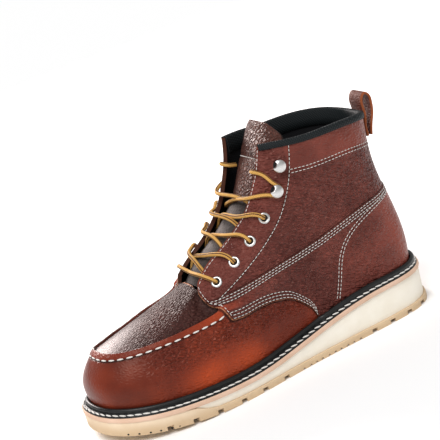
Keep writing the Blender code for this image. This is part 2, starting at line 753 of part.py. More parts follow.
def make_insole(upper):
    """A thin footbed that fills the foot of the upper."""
    half = len(upper.places) // 2
    sections = []
    for i in range(half + 1):
        j = (-i) % len(upper.places)
        corners = []
        for k, height in ((i, INSOLE_THICK), (j, INSOLE_THICK), (j, 0.0), (i, 0.0)):
            foot, inner = upper.foot[k], upper.inner[k]
            z = foot[2] + height
            x = np.interp(z, inner[:5, 2], inner[:5, 0])
            y = np.interp(z, inner[:5, 2], inner[:5, 1])
            inward = edge_at([upper.places[k]], 1.0)[0] - edge_at([upper.places[k]], 0.0)[0]
            corners.append((x + inward[0] * INSOLE_EDGE_IN, y + inward[1] * INSOLE_EDGE_IN, z))
        sections.append(corners)
    add_object("insole", sweep(sections, False), "lining_black")


def collar_ribs(upper):
    """Indices of the ribs that end on the collar, from the inner corner round the back."""
    corner = [row[0] for row in RIBS].index("collar corner")
    around = len(upper.stations)
    last_outer = int(np.abs(upper.places - upper.stations[corner]).argmin())
    first_inner = int(np.abs(upper.places - upper.stations[around - corner]).argmin())
    return list(range(first_inner, len(upper.places))) + list(range(0, last_outer + 1))


def make_binding(upper):
    """The padded edge band that straddles the collar."""
    sections = []
    rise = np.array([0.0, 0.0, 1.0])
    for i in collar_ribs(upper):
        low_out, n_low = upper.from_top(i, BINDING_OUTSIDE, False)
        top_out, n_top = upper.from_top(i, 0.0, False)
        low_in, m_low = upper.from_top(i, BINDING_INSIDE, True)
        top_in, m_top = upper.from_top(i, 0.0, True)
        near, far = GAP, GAP + BINDING_THICK
        sections.append(
            [
                low_out + n_low * near,
                low_out + n_low * far,
                top_out + n_top * far,
                top_out + n_top * 0.5 * far + rise * far,
                top_in - m_top * 0.5 * far + rise * far,
                top_in - m_top * far,
                low_in - m_low * far,
                low_in - m_low * near,
                top_in - m_top * near + rise * near,
                top_out + n_top * near + rise * near,
            ]
        )
    add_object("collar_binding", sweep(sections, False), "lining_black")


TONGUE_ACROSS = 9


def tongue_drop(across, bends):
    """How far the tongue's face falls behind its middle line, at a distance across."""
    bend = bends[0] if across > 0 else bends[1]
    return bend - math.sqrt(bend * bend - across * across)


def tongue_frame():
    """Points down the tongue's middle, with the outward direction, half width and bends of each."""
    rows = np.array([row[1:] for row in TONGUE])
    knots = chords(rows[:, :2])
    made = cubic(knots, rows, TONGUE_PLACES * knots[-1])
    run = np.gradient(made[:, :2], axis=0)
    run /= np.linalg.norm(run, axis=1)[:, None]
    out = np.stack([np.zeros(len(made)), -run[:, 1], run[:, 0]], axis=1)
    middle = np.stack([made[:, 3], made[:, 0], made[:, 1]], axis=1)
    return middle, out, made[:, 2], made[:, 4:]


def make_tongue():
    sections = []
    for middle, out, half, bends in zip(*tongue_frame()):
        face, back = [], []
        for share in np.linspace(-1.0, 1.0, TONGUE_ACROSS):
            x = half * share
            drop = tongue_drop(x, bends)
            thick = TONGUE_THICK * (1.0 - TONGUE_EDGE_THIN * share**4)
            face.append(middle + out * -drop + np.array([x, 0.0, 0.0]))
            back.append(middle + out * (-drop - thick) + np.array([x * TONGUE_BACK_WIDTH, 0.0, 0.0]))
        sections.append(face + back[::-1])
    add_object("tongue", sweep(sections, False), "leather_tongue")


def make_loop():
    path = np.array(LOOP_PATH)
    knots = chords(path)
    made = cubic(knots, path, np.linspace(0.0, knots[-1], LOOP_STEPS))
    run = np.gradient(made, axis=0)
    run /= np.linalg.norm(run, axis=1)[:, None]
    side = np.stack([-run[:, 1], run[:, 0]], axis=1) * LOOP_THICK / 2
    sections = []
    for point, off in zip(made, side):
        corners = []
        for x, sign in ((1, 1), (-1, 1), (-1, -1), (1, -1)):
            corners.append((x * LOOP_WIDTH / 2, *(point + off * sign)))
        sections.append(corners)
    add_object("pull_loop", sweep(sections, False), "leather")


# Metal
def spin_profile(profile, steps):
    """A turned piece about Z from a closed profile of (radius, height) pairs."""
    bm = bmesh.new()
    verts = [bm.verts.new((radius * MM, 0.0, height * MM)) for radius, height in profile]
    edges = [bm.edges.new((verts[i], verts[(i + 1) % len(verts)])) for i in range(len(verts))]
    bmesh.ops.spin(
        bm, geom=verts + edges, cent=(0, 0, 0), axis=(0, 0, 1), angle=2 * math.pi, steps=steps, use_merge=True
    )
    bmesh.ops.remove_doubles(bm, verts=bm.verts, dist=0.00001)
    bmesh.ops.recalc_face_normals(bm, faces=bm.faces)
    return bm


def seat_on_side(upper, along, up, outer, radius):
    """Where a flat round base sits on the wall that the side view shows at (along, up)."""
    side = 1.0 if outer else -1.0

    def hit(y, z):
        found = upper.tree.ray_cast(Vector((side * 100, y, z)) * MM, Vector((-side, 0.0, 0.0)))
        return found[0] / MM

    middle = hit(along, up)
    turns = [2 * math.pi * i / 8 for i in range(8)]
    ring = [hit(along + radius * 0.8 * math.cos(a), up + radius * 0.8 * math.sin(a)) for a in turns]
    normal = Vector((0.0, 0.0, 0.0))
    for one, two in zip(ring, ring[1:] + ring[:1]):
        normal += (one - middle).cross(two - middle)
    normal = (normal * (1.0 if normal.x * side > 0 else -1.0)).normalized()
    lift = max(max((point - middle).dot(normal) for point in ring), 0.0) + GAP
    return middle + normal * lift, normal


def stand_on(obj, point, normal):
    """Places a turned piece with its axis along a surface normal."""
    obj.rotation_mode = "QUATERNION"
    obj.rotation_quaternion = normal.to_track_quat("Z", "Y")
    obj.location = point * MM


def side_name(outer):
    return "outer" if outer else "inner"


def make_eyelets(seats):
    profile = (
        (EYELET_HOLE, 0.0),
        (EYELET_OUTER, 0.0),
        (EYELET_OUTER - 0.3 * EYELET_ROUND, EYELET_HEIGHT * 0.7),
        (EYELET_OUTER - EYELET_ROUND, EYELET_HEIGHT),
        (EYELET_HOLE, EYELET_HEIGHT * 0.6),
    )
    for outer in (True, False):
        for n in range(1, len(EYELETS) + 1):
            obj = add_object(f"eyelet_{side_name(outer)}_{n}", spin_profile(profile, TURNED_SIDES), "steel")
            stand_on(obj, *seats[outer, n])


def make_hooks(seats):
    profile = (
        (0.0, 0.0),
        (HOOK_BASE, 0.0),
        (HOOK_BASE - HOOK_ROUND, HOOK_BASE_THICK - HOOK_ROUND / 2),
        (HOOK_NECK, HOOK_BASE_THICK),
        (HOOK_NECK, HOOK_HEIGHT - HOOK_HEAD_THICK),
        (HOOK_HEAD, HOOK_HEIGHT - HOOK_HEAD_THICK + HOOK_ROUND),
        (HOOK_HEAD - HOOK_ROUND, HOOK_HEIGHT - HOOK_ROUND),
        (0.0, HOOK_HEIGHT + HOOK_ROUND),
    )
    for outer in (True, False):
        for n in range(1, len(HOOKS) + 1):
            obj = add_object(f"hook_{side_name(outer)}_{n}", spin_profile(profile, TURNED_SIDES), "steel")
            stand_on(obj, *seats[outer, len(EYELETS) + n])


def make_seats(upper):
    """Point and normal of each eyelet and hook: 1 to 4 are eyelets, 5 and 6 are hooks."""
    seats = {}
    for outer in (True, False):
        for n, (along, up) in enumerate(EYELETS + HOOKS, 1):
            base = EYELET_OUTER if n <= len(EYELETS) else HOOK_BASE
            seats[outer, n] = seat_on_side(upper, along, up, outer, base)
    return seats


# The lace
class Lacing:
    """Routes over the throat, between the tongue's face and the eyestays."""

    def __init__(self, seats):
        self.seats = seats
        edge = np.array(EYESTAY_EDGE)
        knots = chords(edge)
        self.edge = cubic(knots, edge, np.linspace(0.0, knots[-1], 200))
        rows = np.array([row[1:] for row in TONGUE])
        knots = chords(rows[:, :2])
        self.tongue = cubic(knots, rows, np.linspace(0.0, knots[-1], 300))

    def edge_by(self, outer, n, up=0.0):
        """The eyestay edge's point nearest to seat n, moved up the edge by a distance."""
        mirror = np.array([1.0 if outer else -1.0, 1.0, 1.0])
        edge = self.edge * mirror
        nearest = np.linalg.norm(edge - np.array(self.seats[outer, n][0]), axis=1).argmin()
        run = chords(edge)
        return edge[np.abs(run - (run[nearest] - up)).argmin()]

    def over_tongue(self, across, beside, lift):
        """A point over the tongue's face, level with a point beside it."""
        i = int(np.linalg.norm(self.tongue[:, :2] - beside[1:], axis=1).argmin())
        i = min(max(i, 1), len(self.tongue) - 2)
        run = self.tongue[i + 1, :2] - self.tongue[i - 1, :2]
        run = run / np.linalg.norm(run)
        out = np.array([0.0, -run[1], run[0]])
        drop = tongue_drop(across, self.tongue[i, 4:])
        return np.array([across, *self.tongue[i, :2]]) + out * (lift - drop)

    def on_eyelet(self, outer, n, clear=EYELET_CLEAR):
        point, normal = (np.array(part) for part in self.seats[outer, n])
        return point + normal * (EYELET_HEIGHT + LACE_RADIUS + clear)

    def over_edge(self, outer, n, up, clear=EDGE_CLEAR):
        normal = np.array(self.seats[outer, n][1])
        return self.edge_by(outer, n, up) + normal * (LACE_RADIUS + SHAFT_STEP + clear)

    def hook_frame(self, outer, n):
        """The hook's lace level, with directions to the throat and up the eyestay."""
        point, normal = (np.array(part) for part in self.seats[outer, n])
        to_throat = self.edge_by(outer, n) - point
        to_throat -= normal * to_throat.dot(normal)
        to_throat /= np.linalg.norm(to_throat)
        up = np.cross(normal, to_throat)
        up *= 1.0 if up[2] > 0 else -1.0
        level = point + normal * (HOOK_HEIGHT - HOOK_HEAD_THICK - LACE_RADIUS - LACE_CLEAR)
        return level, normal, to_throat, up

    def strand(self, outer, n):
        """From the edge at level n on one side, over the throat, to level n + 1 on the other."""
        low, high = self.edge_by(outer, n, UNDER_UP), self.edge_by(not outer, n + 1)
        side = 1.0 if outer else -1.0
        start = self.over_tongue(side * (abs(low[0]) - UNDER_EDGE), low, LACE_RADIUS + LACE_CLEAR)
        middle = self.over_tongue(0.0, (low + high) / 2, LACE_RADIUS + CROSS_LIFT)
        route = [start, middle, self.over_edge(not outer, n + 1, -3.0)]
        if n < len(EYELETS):
            route.append(self.on_eyelet(not outer, n + 1))
        else:
            level, _, to_throat, up = self.hook_frame(not outer, n + 1)
            reach = HOOK_NECK + LACE_RADIUS + LACE_CLEAR
            route.append(level + to_throat * reach * 0.6 - up * reach)
        return np.array(route)

    def bar(self):
        outer = [self.on_eyelet(True, 1, BAR_CLEAR), self.over_edge(True, 1, 0.0, BAR_CLEAR)]
        inner = [self.over_edge(False, 1, 0.0, BAR_CLEAR), self.on_eyelet(False, 1, BAR_CLEAR)]
        middle = self.over_tongue(0.0, self.edge_by(True, 1), LACE_RADIUS + BAR_LIFT)
        return np.array(outer + [middle] + inner)

    def end(self, outer):
        """From the lower hook back to the throat, over the edge and in beside the tongue."""
        n = len(EYELETS) + 1
        level, normal, to_throat, up = self.hook_frame(outer, n)
        reach = HOOK_NECK + LACE_RADIUS + LACE_CLEAR
        edge = self.edge_by(outer, n, END_UP)
        clear = LACE_RADIUS + SHAFT_STEP + EDGE_CLEAR
        return np.array(
            [
                level - to_throat * reach,
                level + up * reach * 0.8 - to_throat * reach * 0.5,
                level + up * (reach + 2.0) + to_throat * 3.0 + normal * 0.8,
                edge - to_throat * 3.5 + normal * (clear + 1.0),
                edge + to_throat * (LACE_RADIUS + 2.2) + normal * 0.6,
                edge + to_throat * 3.0 - normal * (WALL_THICK + LACE_RADIUS + 1.3),
            ]
        )


def smooth_route(route, count):
    knots = chords(route)
    return cubic(knots, route, np.linspace(0.0, knots[-1], count))


def lace_tube(route):
    points = smooth_route(route, LACE_STEPS)
    run = np.gradient(points, axis=0)
    run /= np.linalg.norm(run, axis=1)[:, None]
    sections = []
    for point, ahead in zip(points, run):
        flat = np.cross(ahead, (0.0, 0.6, -0.8))
        flat /= np.linalg.norm(flat)
        high = np.cross(flat, ahead)
        turns = [2 * math.pi * i / LACE_SIDES for i in range(LACE_SIDES)]
        sections.append([point + LACE_RADIUS * (flat * math.cos(a) + high * math.sin(a)) for a in turns])
    return sweep(sections, False)


def lace_curve(name, route, count):
    curve = bpy.data.curves.new(name, "CURVE")
    curve.dimensions = "3D"
    curve.bevel_depth = LACE_RADIUS * MM
    curve.bevel_resolution = 2
    curve.use_fill_caps = True
    spline = curve.splines.new("POLY")
    points = smooth_route(route, count)
    spline.points.add(len(points) - 1)
    for knot, point in zip(spline.points, points):
        knot.co = (*(Vector(point) * MM), 1.0)
    curve.materials.append(MATERIALS["lace"])
    bpy.context.scene.collection.objects.link(bpy.data.objects.new(name, curve))


def make_lace(seats):
    lacing = Lacing(seats)
    add_object("lace_bar", lace_tube(lacing.bar()), "lace")
    for n in range(1, len(EYELETS) + 1):
        cross = add_object(f"lace_cross_{n}", lace_tube(lacing.strand(True, n)), "lace")
        other = add_object(f"lace_strand_{n}", lace_tube(lacing.strand(False, n)), "lace")
        cut(cross, other, "UNION")
    for outer in (True, False):
        lace_curve(f"lace_end_{side_name(outer)}", lacing.end(outer), END_STEPS)


def main():
    for obj in list(bpy.data.objects):
        bpy.data.objects.remove(obj)
    for name in COLOURS:
        MATERIALS[name] = make_material(name)
    make_sole()
    upper = Upper()
    make_upper(upper)
    make_welt(upper)
    make_insole(upper)
    make_binding(upper)
    make_tongue()
    make_loop()
    seats = make_seats(upper)
    make_eyelets(seats)
    make_hooks(seats)
    make_lace(seats)


main()
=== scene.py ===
"""A left moc toe work boot, dressed for its portrait. The file is a lesson in cells."""

# %% [markdown]
# The frame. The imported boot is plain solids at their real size. Everything below is laid on them, in the
# same frame: the toe points to -Y, the outer side is +X, and the floor is z = 0. Sizes are in
# millimetres, and MM turns them into metres.

# %% Load the frame
import math

import bmesh
import bpy
import numpy as np
from mathutils import Matrix, Vector
from mathutils.bvhtree import BVHTree


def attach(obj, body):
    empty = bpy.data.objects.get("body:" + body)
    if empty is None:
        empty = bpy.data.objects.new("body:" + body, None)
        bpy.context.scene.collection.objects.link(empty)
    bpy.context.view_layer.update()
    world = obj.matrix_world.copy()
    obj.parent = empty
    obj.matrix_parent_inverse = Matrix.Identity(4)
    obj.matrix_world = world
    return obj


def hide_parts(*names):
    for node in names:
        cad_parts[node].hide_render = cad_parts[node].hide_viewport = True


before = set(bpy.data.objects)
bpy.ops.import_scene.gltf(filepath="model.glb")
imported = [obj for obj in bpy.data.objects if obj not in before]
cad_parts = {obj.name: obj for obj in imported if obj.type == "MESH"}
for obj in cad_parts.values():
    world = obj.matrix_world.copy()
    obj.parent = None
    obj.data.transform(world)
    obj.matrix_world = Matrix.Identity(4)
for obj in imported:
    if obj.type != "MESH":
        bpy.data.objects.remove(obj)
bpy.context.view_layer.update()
MM = 0.001

# %% [markdown]
# The camera. A portrait of a shoe is taken from far off with a long lens, so that the toe doesn't swell.
# The camera stands at the toe's outer side, a little above it, and is rolled, which tips the boot on its
# toe in the picture while the boot itself stands flat. A turn of the camera, and not a lens shift,
# centres the picture, so other views keep a centred lens too.

# %% Camera
AZIMUTH, ELEVATION, ROLL = (math.radians(angle) for angle in (67.835, 18.461, -17.178))
DISTANCE = 1564.2
AIM = Vector((0.0, 0.0, 80.0))
FOCAL_PIXELS, PICTURE_PIXELS = 1968.15, 440
OFF_RIGHT, OFF_DOWN = 18.75, 53.49
SENSOR = 36.0

back = Vector((math.sin(AZIMUTH), -math.cos(AZIMUTH), 0.0)) * math.cos(ELEVATION)
back.z = math.sin(ELEVATION)
level = Vector((math.cos(AZIMUTH), math.sin(AZIMUTH), 0.0))
rise = back.cross(level)
right = level * math.cos(ROLL) + rise * math.sin(ROLL)
up = rise * math.cos(ROLL) - level * math.sin(ROLL)
ahead = (up * OFF_DOWN / FOCAL_PIXELS - right * OFF_RIGHT / FOCAL_PIXELS - back).normalized()
right = (right - ahead * right.dot(ahead)).normalized()
axes = Matrix((right, (-ahead).cross(right), -ahead)).transposed()

lens = bpy.data.cameras.new("portrait")
lens.sensor_width = SENSOR
lens.lens = FOCAL_PIXELS * SENSOR / PICTURE_PIXELS
camera = bpy.data.objects.new("portrait", lens)
camera.matrix_world = Matrix.Translation((AIM + back * DISTANCE) * MM) @ axes.to_4x4()
bpy.context.scene.collection.objects.link(camera)
bpy.context.scene.camera = camera
print("camera:", round(lens.lens), "mm lens,", round(DISTANCE), "mm away")

# %% [markdown]
# Curves. A shoe has few straight lines, so almost every piece below follows a curve through a short list
# of places. One helper draws a smooth cubic, one a curve that never swings past its neighbours, which is
# what a rubbed-down leather edge does. The small ones measure a row of points and read between its rows.


# %% Curves
def chords(rows):
    """Distance run along a row of points."""
    return np.concatenate([[0.0], np.cumsum(np.linalg.norm(np.diff(rows, axis=0), axis=1))])


def read(at, run, rows):
    """Rows at places along a run, each column by itself."""
    return np.stack([np.interp(at, run, column) for column in np.asarray(rows).T], axis=-1)


def unit(rows):
    return rows / np.linalg.norm(rows, axis=-1, keepdims=True)


def heading(path):
    """The direction of a path at each of its points."""
    return unit(np.gradient(path, axis=0))


def quarter_turn(way):
    """Directions in a plane, turned a quarter round."""
    return way[..., ::-1] * (-1.0, 1.0)


def ease(x):
    """0 to 1 with a soft start and end."""
    x = np.clip(x, 0.0, 1.0)
    return x * x * (3 - 2 * x)


def cubic(knots, rows, at, period=None):
    """A smooth cubic curve through rows at knots, read at the given places."""
    knots, rows, at = np.asarray(knots, float), np.asarray(rows, float), np.asarray(at, float)
    if period:
        knots = np.concatenate([knots[-3:] - period, knots, knots[:4] + period])
        rows = np.concatenate([rows[-3:], rows, rows[:4]])
    steps = np.diff(knots)
    slopes = np.diff(rows, axis=0) / steps[:, None]
    count = len(knots)
    matrix, right_side = np.eye(count), np.zeros_like(rows)
    for i in range(1, count - 1):
        matrix[i, i - 1 : i + 2] = steps[i - 1], 2 * (steps[i - 1] + steps[i]), steps[i]
        right_side[i] = 6 * (slopes[i] - slopes[i - 1])
    bends = np.linalg.solve(matrix, right_side)
    i = np.clip(np.searchsorted(knots, at, side="right") - 1, 0, count - 2)
    h, near, far = steps[i][:, None], (at - knots[i])[:, None], (knots[i + 1] - at)[:, None]
    made = (bends[i] * far**3 + bends[i + 1] * near**3) / (6 * h)
    made += (rows[i] / h - bends[i] * h / 6) * far
    return made + (rows[i + 1] / h - bends[i + 1] * h / 6) * near


def steady(knots, values, at):
    """A closed curve through values that never swings past its neighbours; once round is 1."""
    knots = np.concatenate([[knots[-1] - 1.0], knots, np.array(knots[:2]) + 1.0])
    values = np.concatenate([[values[-1]], values, values[:2]])
    steps = np.diff(knots)
    slopes = np.diff(values) / steps
    same = slopes[:-1] * slopes[1:] > 0
    mean = np.zeros(len(same))
    near, far = 2 * steps[1:] + steps[:-1], steps[1:] + 2 * steps[:-1]
    mean[same] = (near + far)[same] / (near[same] / slopes[:-1][same] + far[same] / slopes[1:][same])
    lean = np.concatenate([[0.0], mean, [0.0]])
    i = np.clip(np.searchsorted(knots, at, side="right") - 1, 0, len(steps) - 1)
    h, u = steps[i], (at - knots[i]) / steps[i]
    made = values[i] + (values[i + 1] - values[i]) * ease(u)
    return made + h * u * (1 - u) * (lean[i] * (1 - u) - lean[i + 1] * u)


def smooth_path(points, count):
    """Evenly spread points on a smooth curve through a few."""
    knots = chords(points)
    return cubic(knots, points, np.linspace(0.0, knots[-1], count))


# %% [markdown]
# The sole's outline and heights. The last, the wooden foot that a boot is built round, starts from the
# sole: its edge, seen from above, and how high the sole's top lies under each part of the foot. A place
# on the edge is a number from 0, at the back of the heel, along the outer side to the toe and home to 1.

# %% Outline of the sole
SOLE_LENGTH, TOE_SPRING, SPRING_FROM, SPRING_CURVE = 305.0, 9.5, -30.0, 1.9
LOWEST_AT, HEEL_RUN, BALL_THICK, HEEL_MORE, TOE_LESS = -35.0, 135.0, 15.5, 16.5, 1.0
GAP = 0.35
OUTLINE = (
    # across, along
    (0.0, 152.5), (29.0, 138.5), (38.5, 108.0), (42.0, 60.0), (46.5, 10.0), (54.0, -45.0),
    (53.0, -90.0), (42.0, -126.0), (20.0, -147.0), (-5.0, -152.5), (-30.5, -146.5), (-46.0, -122.5),
    (-51.0, -84.0), (-51.0, -46.0), (-42.5, 10.0), (-37.5, 60.0), (-37.0, 106.0), (-28.5, 138.0),
)


def make_outline(samples=720):
    rows = np.array(OUTLINE)
    knots = chords(np.vstack([rows, rows[:1]]))
    places = np.arange(samples) / samples
    points = cubic(knots[:-1] / knots[-1], rows, places, period=1.0)
    points -= (points.max(axis=0) + points.min(axis=0)) / 2
    points[:, 1] *= SOLE_LENGTH / np.ptp(points[:, 1])
    return places, points


PLACES, EDGE = make_outline()
TOE_PLACE = PLACES[EDGE[:, 1].argmin()]
HEEL_PLACE = PLACES[EDGE[:, 1].argmax()]


def edge_at(places, inset=0.0):
    """Points on the sole's edge, moved in by inset."""
    places = np.mod(np.asarray(places, float), 1.0)
    turn = np.roll(EDGE, -1, axis=0) - np.roll(EDGE, 1, axis=0)
    knots = np.append(PLACES, 1.0)
    point, run = (read(places, knots, np.vstack([rows, rows[:1]])) for rows in (EDGE, turn))
    inward = -quarter_turn(unit(run))
    return point + inward * np.broadcast_to(np.asarray(inset, float), len(places))[:, None]


def place_of(along, outer):
    """The edge's place at a distance along the boot, on its outer or inner side."""
    side = PLACES <= TOE_PLACE if outer else PLACES >= TOE_PLACE
    return PLACES[side][np.abs(EDGE[side, 1] - along).argmin()]


def tread_z(along):
    """The underside of the sole: flat to the ball, then up with the toe spring."""
    ahead = (SPRING_FROM - along) / (SOLE_LENGTH / 2 + SPRING_FROM)
    return TOE_SPRING * np.clip(ahead, 0.0, None) ** SPRING_CURVE


def sole_top_z(along):
    """The top of the sole: level at the heel, lower at the ball, up again with the toe spring."""
    to_heel = ease((along - LOWEST_AT) / HEEL_RUN)
    to_toe = np.clip((LOWEST_AT - along) / (SOLE_LENGTH / 2 + LOWEST_AT), 0.0, 1.0)
    return tread_z(along) + BALL_THICK + HEEL_MORE * to_heel - TOE_LESS * to_toe


print("outline:", len(PLACES), "places, toe at", round(float(TOE_PLACE), 3))

# %% [markdown]
# The last. Ribs climb from the sole's edge to the top line of the boot. Each has a foot, a fullest point,
# a seam, a middle and a top. The seam is the moc seam round the toe, and behind the throat the edge where
# the quarter, the side panel, is sewn over the shaft. The tables hold one row for each rib that matters,
# and curves fill in the ribs between them.

# %% Tables of the last
RIBS = (
    # along, foot_in, wall_in_o, wall_in_i, wall_up, seam_in_o, seam_in_i, seam_z_o, seam_z_i, more
    (152.5, 7.5, 5.6, 5.6, 24.0, 12.0, 12.0, 103.0, 103.0, 2),
    (138.5, 7.5, 5.4, 5.4, 24.0, 9.4, 9.4, 101.5, 101.5, 3),
    (108.0, 8.0, 5.4, 4.6, 24.0, 5.2, 4.0, 100.0, 100.0, 3),
    (68.0, 8.5, 6.0, 4.4, 23.0, 3.6, -0.2, 94.5, 96.0, 3),
    (38.0, 8.5, 6.2, 4.4, 22.0, 3.8, 0.4, 88.5, 91.0, 3),
    (14.0, 8.5, 6.6, 5.0, 21.0, 5.2, 2.2, 85.0, 88.5, 3),
    (-12.0, 8.5, 6.8, 5.8, 20.0, 7.8, 4.8, 82.0, 87.0, 4),
    (-37.0, 8.5, 7.0, 6.4, 19.0, 10.4, 8.6, 69.5, 75.5, 0),
    (-40.5, 8.5, 7.0, 6.4, 19.0, 10.4, 8.8, 67.5, 74.0, 4),
    (-74.0, 8.5, 7.0, 6.6, 18.5, 11.8, 10.0, 66.0, 67.0, 4),
    (-104.0, 8.5, 6.2, 6.6, 18.0, 14.6, 13.6, 65.0, 62.6, 4),
    (-131.0, 8.5, 5.4, 6.6, 19.0, 17.6, 18.4, 64.0, 62.2, 4),
    (-152.5, 8.5, 6.0, 6.0, 19.5, 18.5, 18.5, 63.5, 63.5, 0),
)
COLLAR_RIB, THROAT_RIB = 5, 8
SHAFT = (
    # mid_x, mid_y, mid_z, top_x, top_y, top_z
    (0.0, 137.0, 131.0, 0.0, 138.2, 165.5),
    (23.5, 126.5, 132.0, 26.5, 128.5, 169.0),
    (34.0, 103.5, 133.0, 38.5, 103.0, 173.0),
    (38.0, 70.0, 131.0, 40.0, 70.0, 175.0),
    (38.5, 48.0, 128.0, 36.5, 48.0, 177.8),
    (37.0, 27.0, 122.0, 30.0, 33.2, 179.5),
    (35.5, -6.0, 102.5, 20.0, -2.5, 120.8),
    (31.0, -41.0, 80.8, 18.0, -42.2, 93.5),
)
EYESTAY_EDGE = (
    # across, along, up
    (30.0, 33.2, 179.5), (28.0, 28.8, 164.3), (25.5, 20.1, 146.9), (23.5, 11.2, 133.2),
    (20.5, -0.2, 122.3), (18.0, -15.4, 111.8), (17.0, -33.0, 101.5), (18.0, -42.2, 93.5),
)
THROAT_CORNER, PLUG_BACK = np.array((17.5, -44.8, 87.3)), np.array((-2.0, -43.0, 89.0))
PLUG_CROWN_OUTER, PLUG_CROWN_INNER = 1.8, -1.5
ARCH = (
    # along, up
    (-37.0, 62.8), (-24.0, 61.8), (-10.0, 62.2), (3.0, 61.6), (14.0, 59.2), (24.0, 54.2), (33.0, 44.8),
    (38.5, 36.0), (41.5, 26.0),
)
ARCH_LIFT_INNER, ARCH_FADE, LAP_LEAST = 5.0, 40.0, 1.4
WALL_THICK, QUARTER_STEP, SHAFT_STEP = 2.4, 1.4, 0.8


# %% The last as a class
class Last:
    """The five lines of the boot's wall, read at any number of places round the sole."""

    def __init__(self, finer):
        outer = [place_of(row[0], True) for row in RIBS]
        inner = [place_of(row[0], False) for row in RIBS]
        outer[0], outer[-1] = HEEL_PLACE, TOE_PLACE
        self.stations = np.array(outer + inner[-2:0:-1])
        last = len(RIBS) - 1
        self.order = list(range(last + 1)) + list(range(last - 1, 0, -1))
        self.side = np.where(np.arange(len(self.order)) <= last, 1.0, -1.0)
        self.places = self.split(finer)
        base = edge_at(self.places, self.column(1, 1))
        floor = sole_top_z(base[:, 1]) + GAP
        self.foot = np.column_stack([base, floor])
        self.wall = np.column_stack([edge_at(self.places, self.column(2, 3)), floor + self.column(4, 4)])
        self.seam = np.column_stack([edge_at(self.places, self.column(5, 6)), self.column(7, 8)])
        self.lines = np.stack([self.foot, self.wall, self.seam, *self.upper_lines()], axis=1)
        self.front = self.front_weight()

    def split(self, finer):
        knots = np.append(self.stations, self.stations[0] + 1.0)
        more = [row[-1] for row in RIBS[:-1]]
        places = []
        for start, end, count in zip(knots, knots[1:], more + more[::-1]):
            places.append(np.linspace(start, end, (count + 1) * finer, endpoint=False))
        return np.concatenate(places)

    def column(self, outer_column, inner_column):
        values = [RIBS[i][outer_column if s > 0 else inner_column] for i, s in zip(self.order, self.side)]
        return steady(self.stations, np.array(values), self.places)

    def upper_lines(self):
        shaft, top = [], []
        for n, (i, side) in enumerate(zip(self.order, self.side)):
            mirror = np.array((side, 1.0, 1.0))
            if i < THROAT_RIB:
                shaft.append(np.array(SHAFT[i][:3]) * mirror)
                top.append(np.array(SHAFT[i][3:]) * mirror)
                continue
            share = (TOE_PLACE - self.stations[i]) / (TOE_PLACE - self.stations[THROAT_RIB])
            end = PLUG_BACK + (THROAT_CORNER * mirror - PLUG_BACK) * (share, share**2, share**2)
            crown = PLUG_CROWN_OUTER
            if side < 0:
                crown += (PLUG_CROWN_INNER - PLUG_CROWN_OUTER) * share
            at_seam = self.seam[np.abs(self.places - self.stations[n]).argmin()]
            shaft.append((at_seam + end) / 2 + (0.0, 0.0, crown))
            top.append(end)
        shaft = cubic(self.stations, shaft, self.places, period=1.0)
        return shaft, self.top_line(np.array(top))

    def top_line(self, ends):
        """The top line in pieces, with corners at the collar's ends and at the throat's base."""
        line, around = np.zeros((len(self.places), 3)), len(self.stations)
        for side in (1.0, -1.0):
            index = [i if side > 0 else (around - i) % around for i in range(len(RIBS))]
            knot = self.stations[index].copy()
            if side < 0:
                knot[0] = self.stations[0] + 1.0
            mine = self.places <= TOE_PLACE + 1e-9 if side > 0 else self.places > TOE_PLACE + 1e-9
            run, knot = (self.places[mine] - knot[0]) * side, (knot - knot[0]) * side
            line[mine] = self.top_pieces(run, knot, ends[index], side)
        return line

    def top_pieces(self, run, knot, rows, side):
        eyestay = np.array(EYESTAY_EDGE) * (side, 1.0, 1.0)
        corner, foot = knot[COLLAR_RIB], knot[THROAT_RIB - 1]
        collar = np.vstack([rows[1] * (-1, 1, 1), rows[: COLLAR_RIB + 1]])
        made = cubic(np.append(-knot[1], knot[: COLLAR_RIB + 1]), collar, run)
        on_eyestay = (run > corner) & (run <= foot)
        edge_run = chords(eyestay)
        share = (run[on_eyestay] - corner) / (foot - corner)
        made[on_eyestay] = cubic(edge_run, eyestay, share * edge_run[-1])
        ahead_of_it = run > foot
        made[ahead_of_it] = read(run[ahead_of_it], knot[THROAT_RIB - 1 :], rows[THROAT_RIB - 1 :])
        return made

    def front_weight(self):
        """1 on the moc toe, 0 on the quarters, with a quick change at the flap's front edge."""
        around = len(self.stations)
        back_o, front_o = self.stations[THROAT_RIB - 1], self.stations[THROAT_RIB]
        back_i, front_i = self.stations[around - THROAT_RIB + 1], self.stations[around - THROAT_RIB]
        rising = (self.places - back_o) / (front_o - back_o)
        falling = (back_i - self.places) / (back_i - front_i)
        return ease((np.minimum(rising, falling) - 0.25) / 0.5)

    def lengths(self, i):
        """How long rib i is below and above its seam."""
        run = chords(self.lines[i])
        return run[2], run[-1] - run[2]

    def rib(self, i, params):
        """Points on rib i: 0 at the foot, 0.5 at the seam, 1 at the top."""
        points, run = self.lines[i], chords(self.lines[i])
        along = np.interp(params, (0.0, 0.5, 1.0), (0.0, run[2], run[-1]))
        smooth = cubic(run, points, along)
        below, above = cubic(run[:3], points[:3], along), cubic(run[2:], points[2:], along)
        folded = np.where((params <= 0.5)[:, None], below, above)
        return smooth + (folded - smooth) * self.front[i]

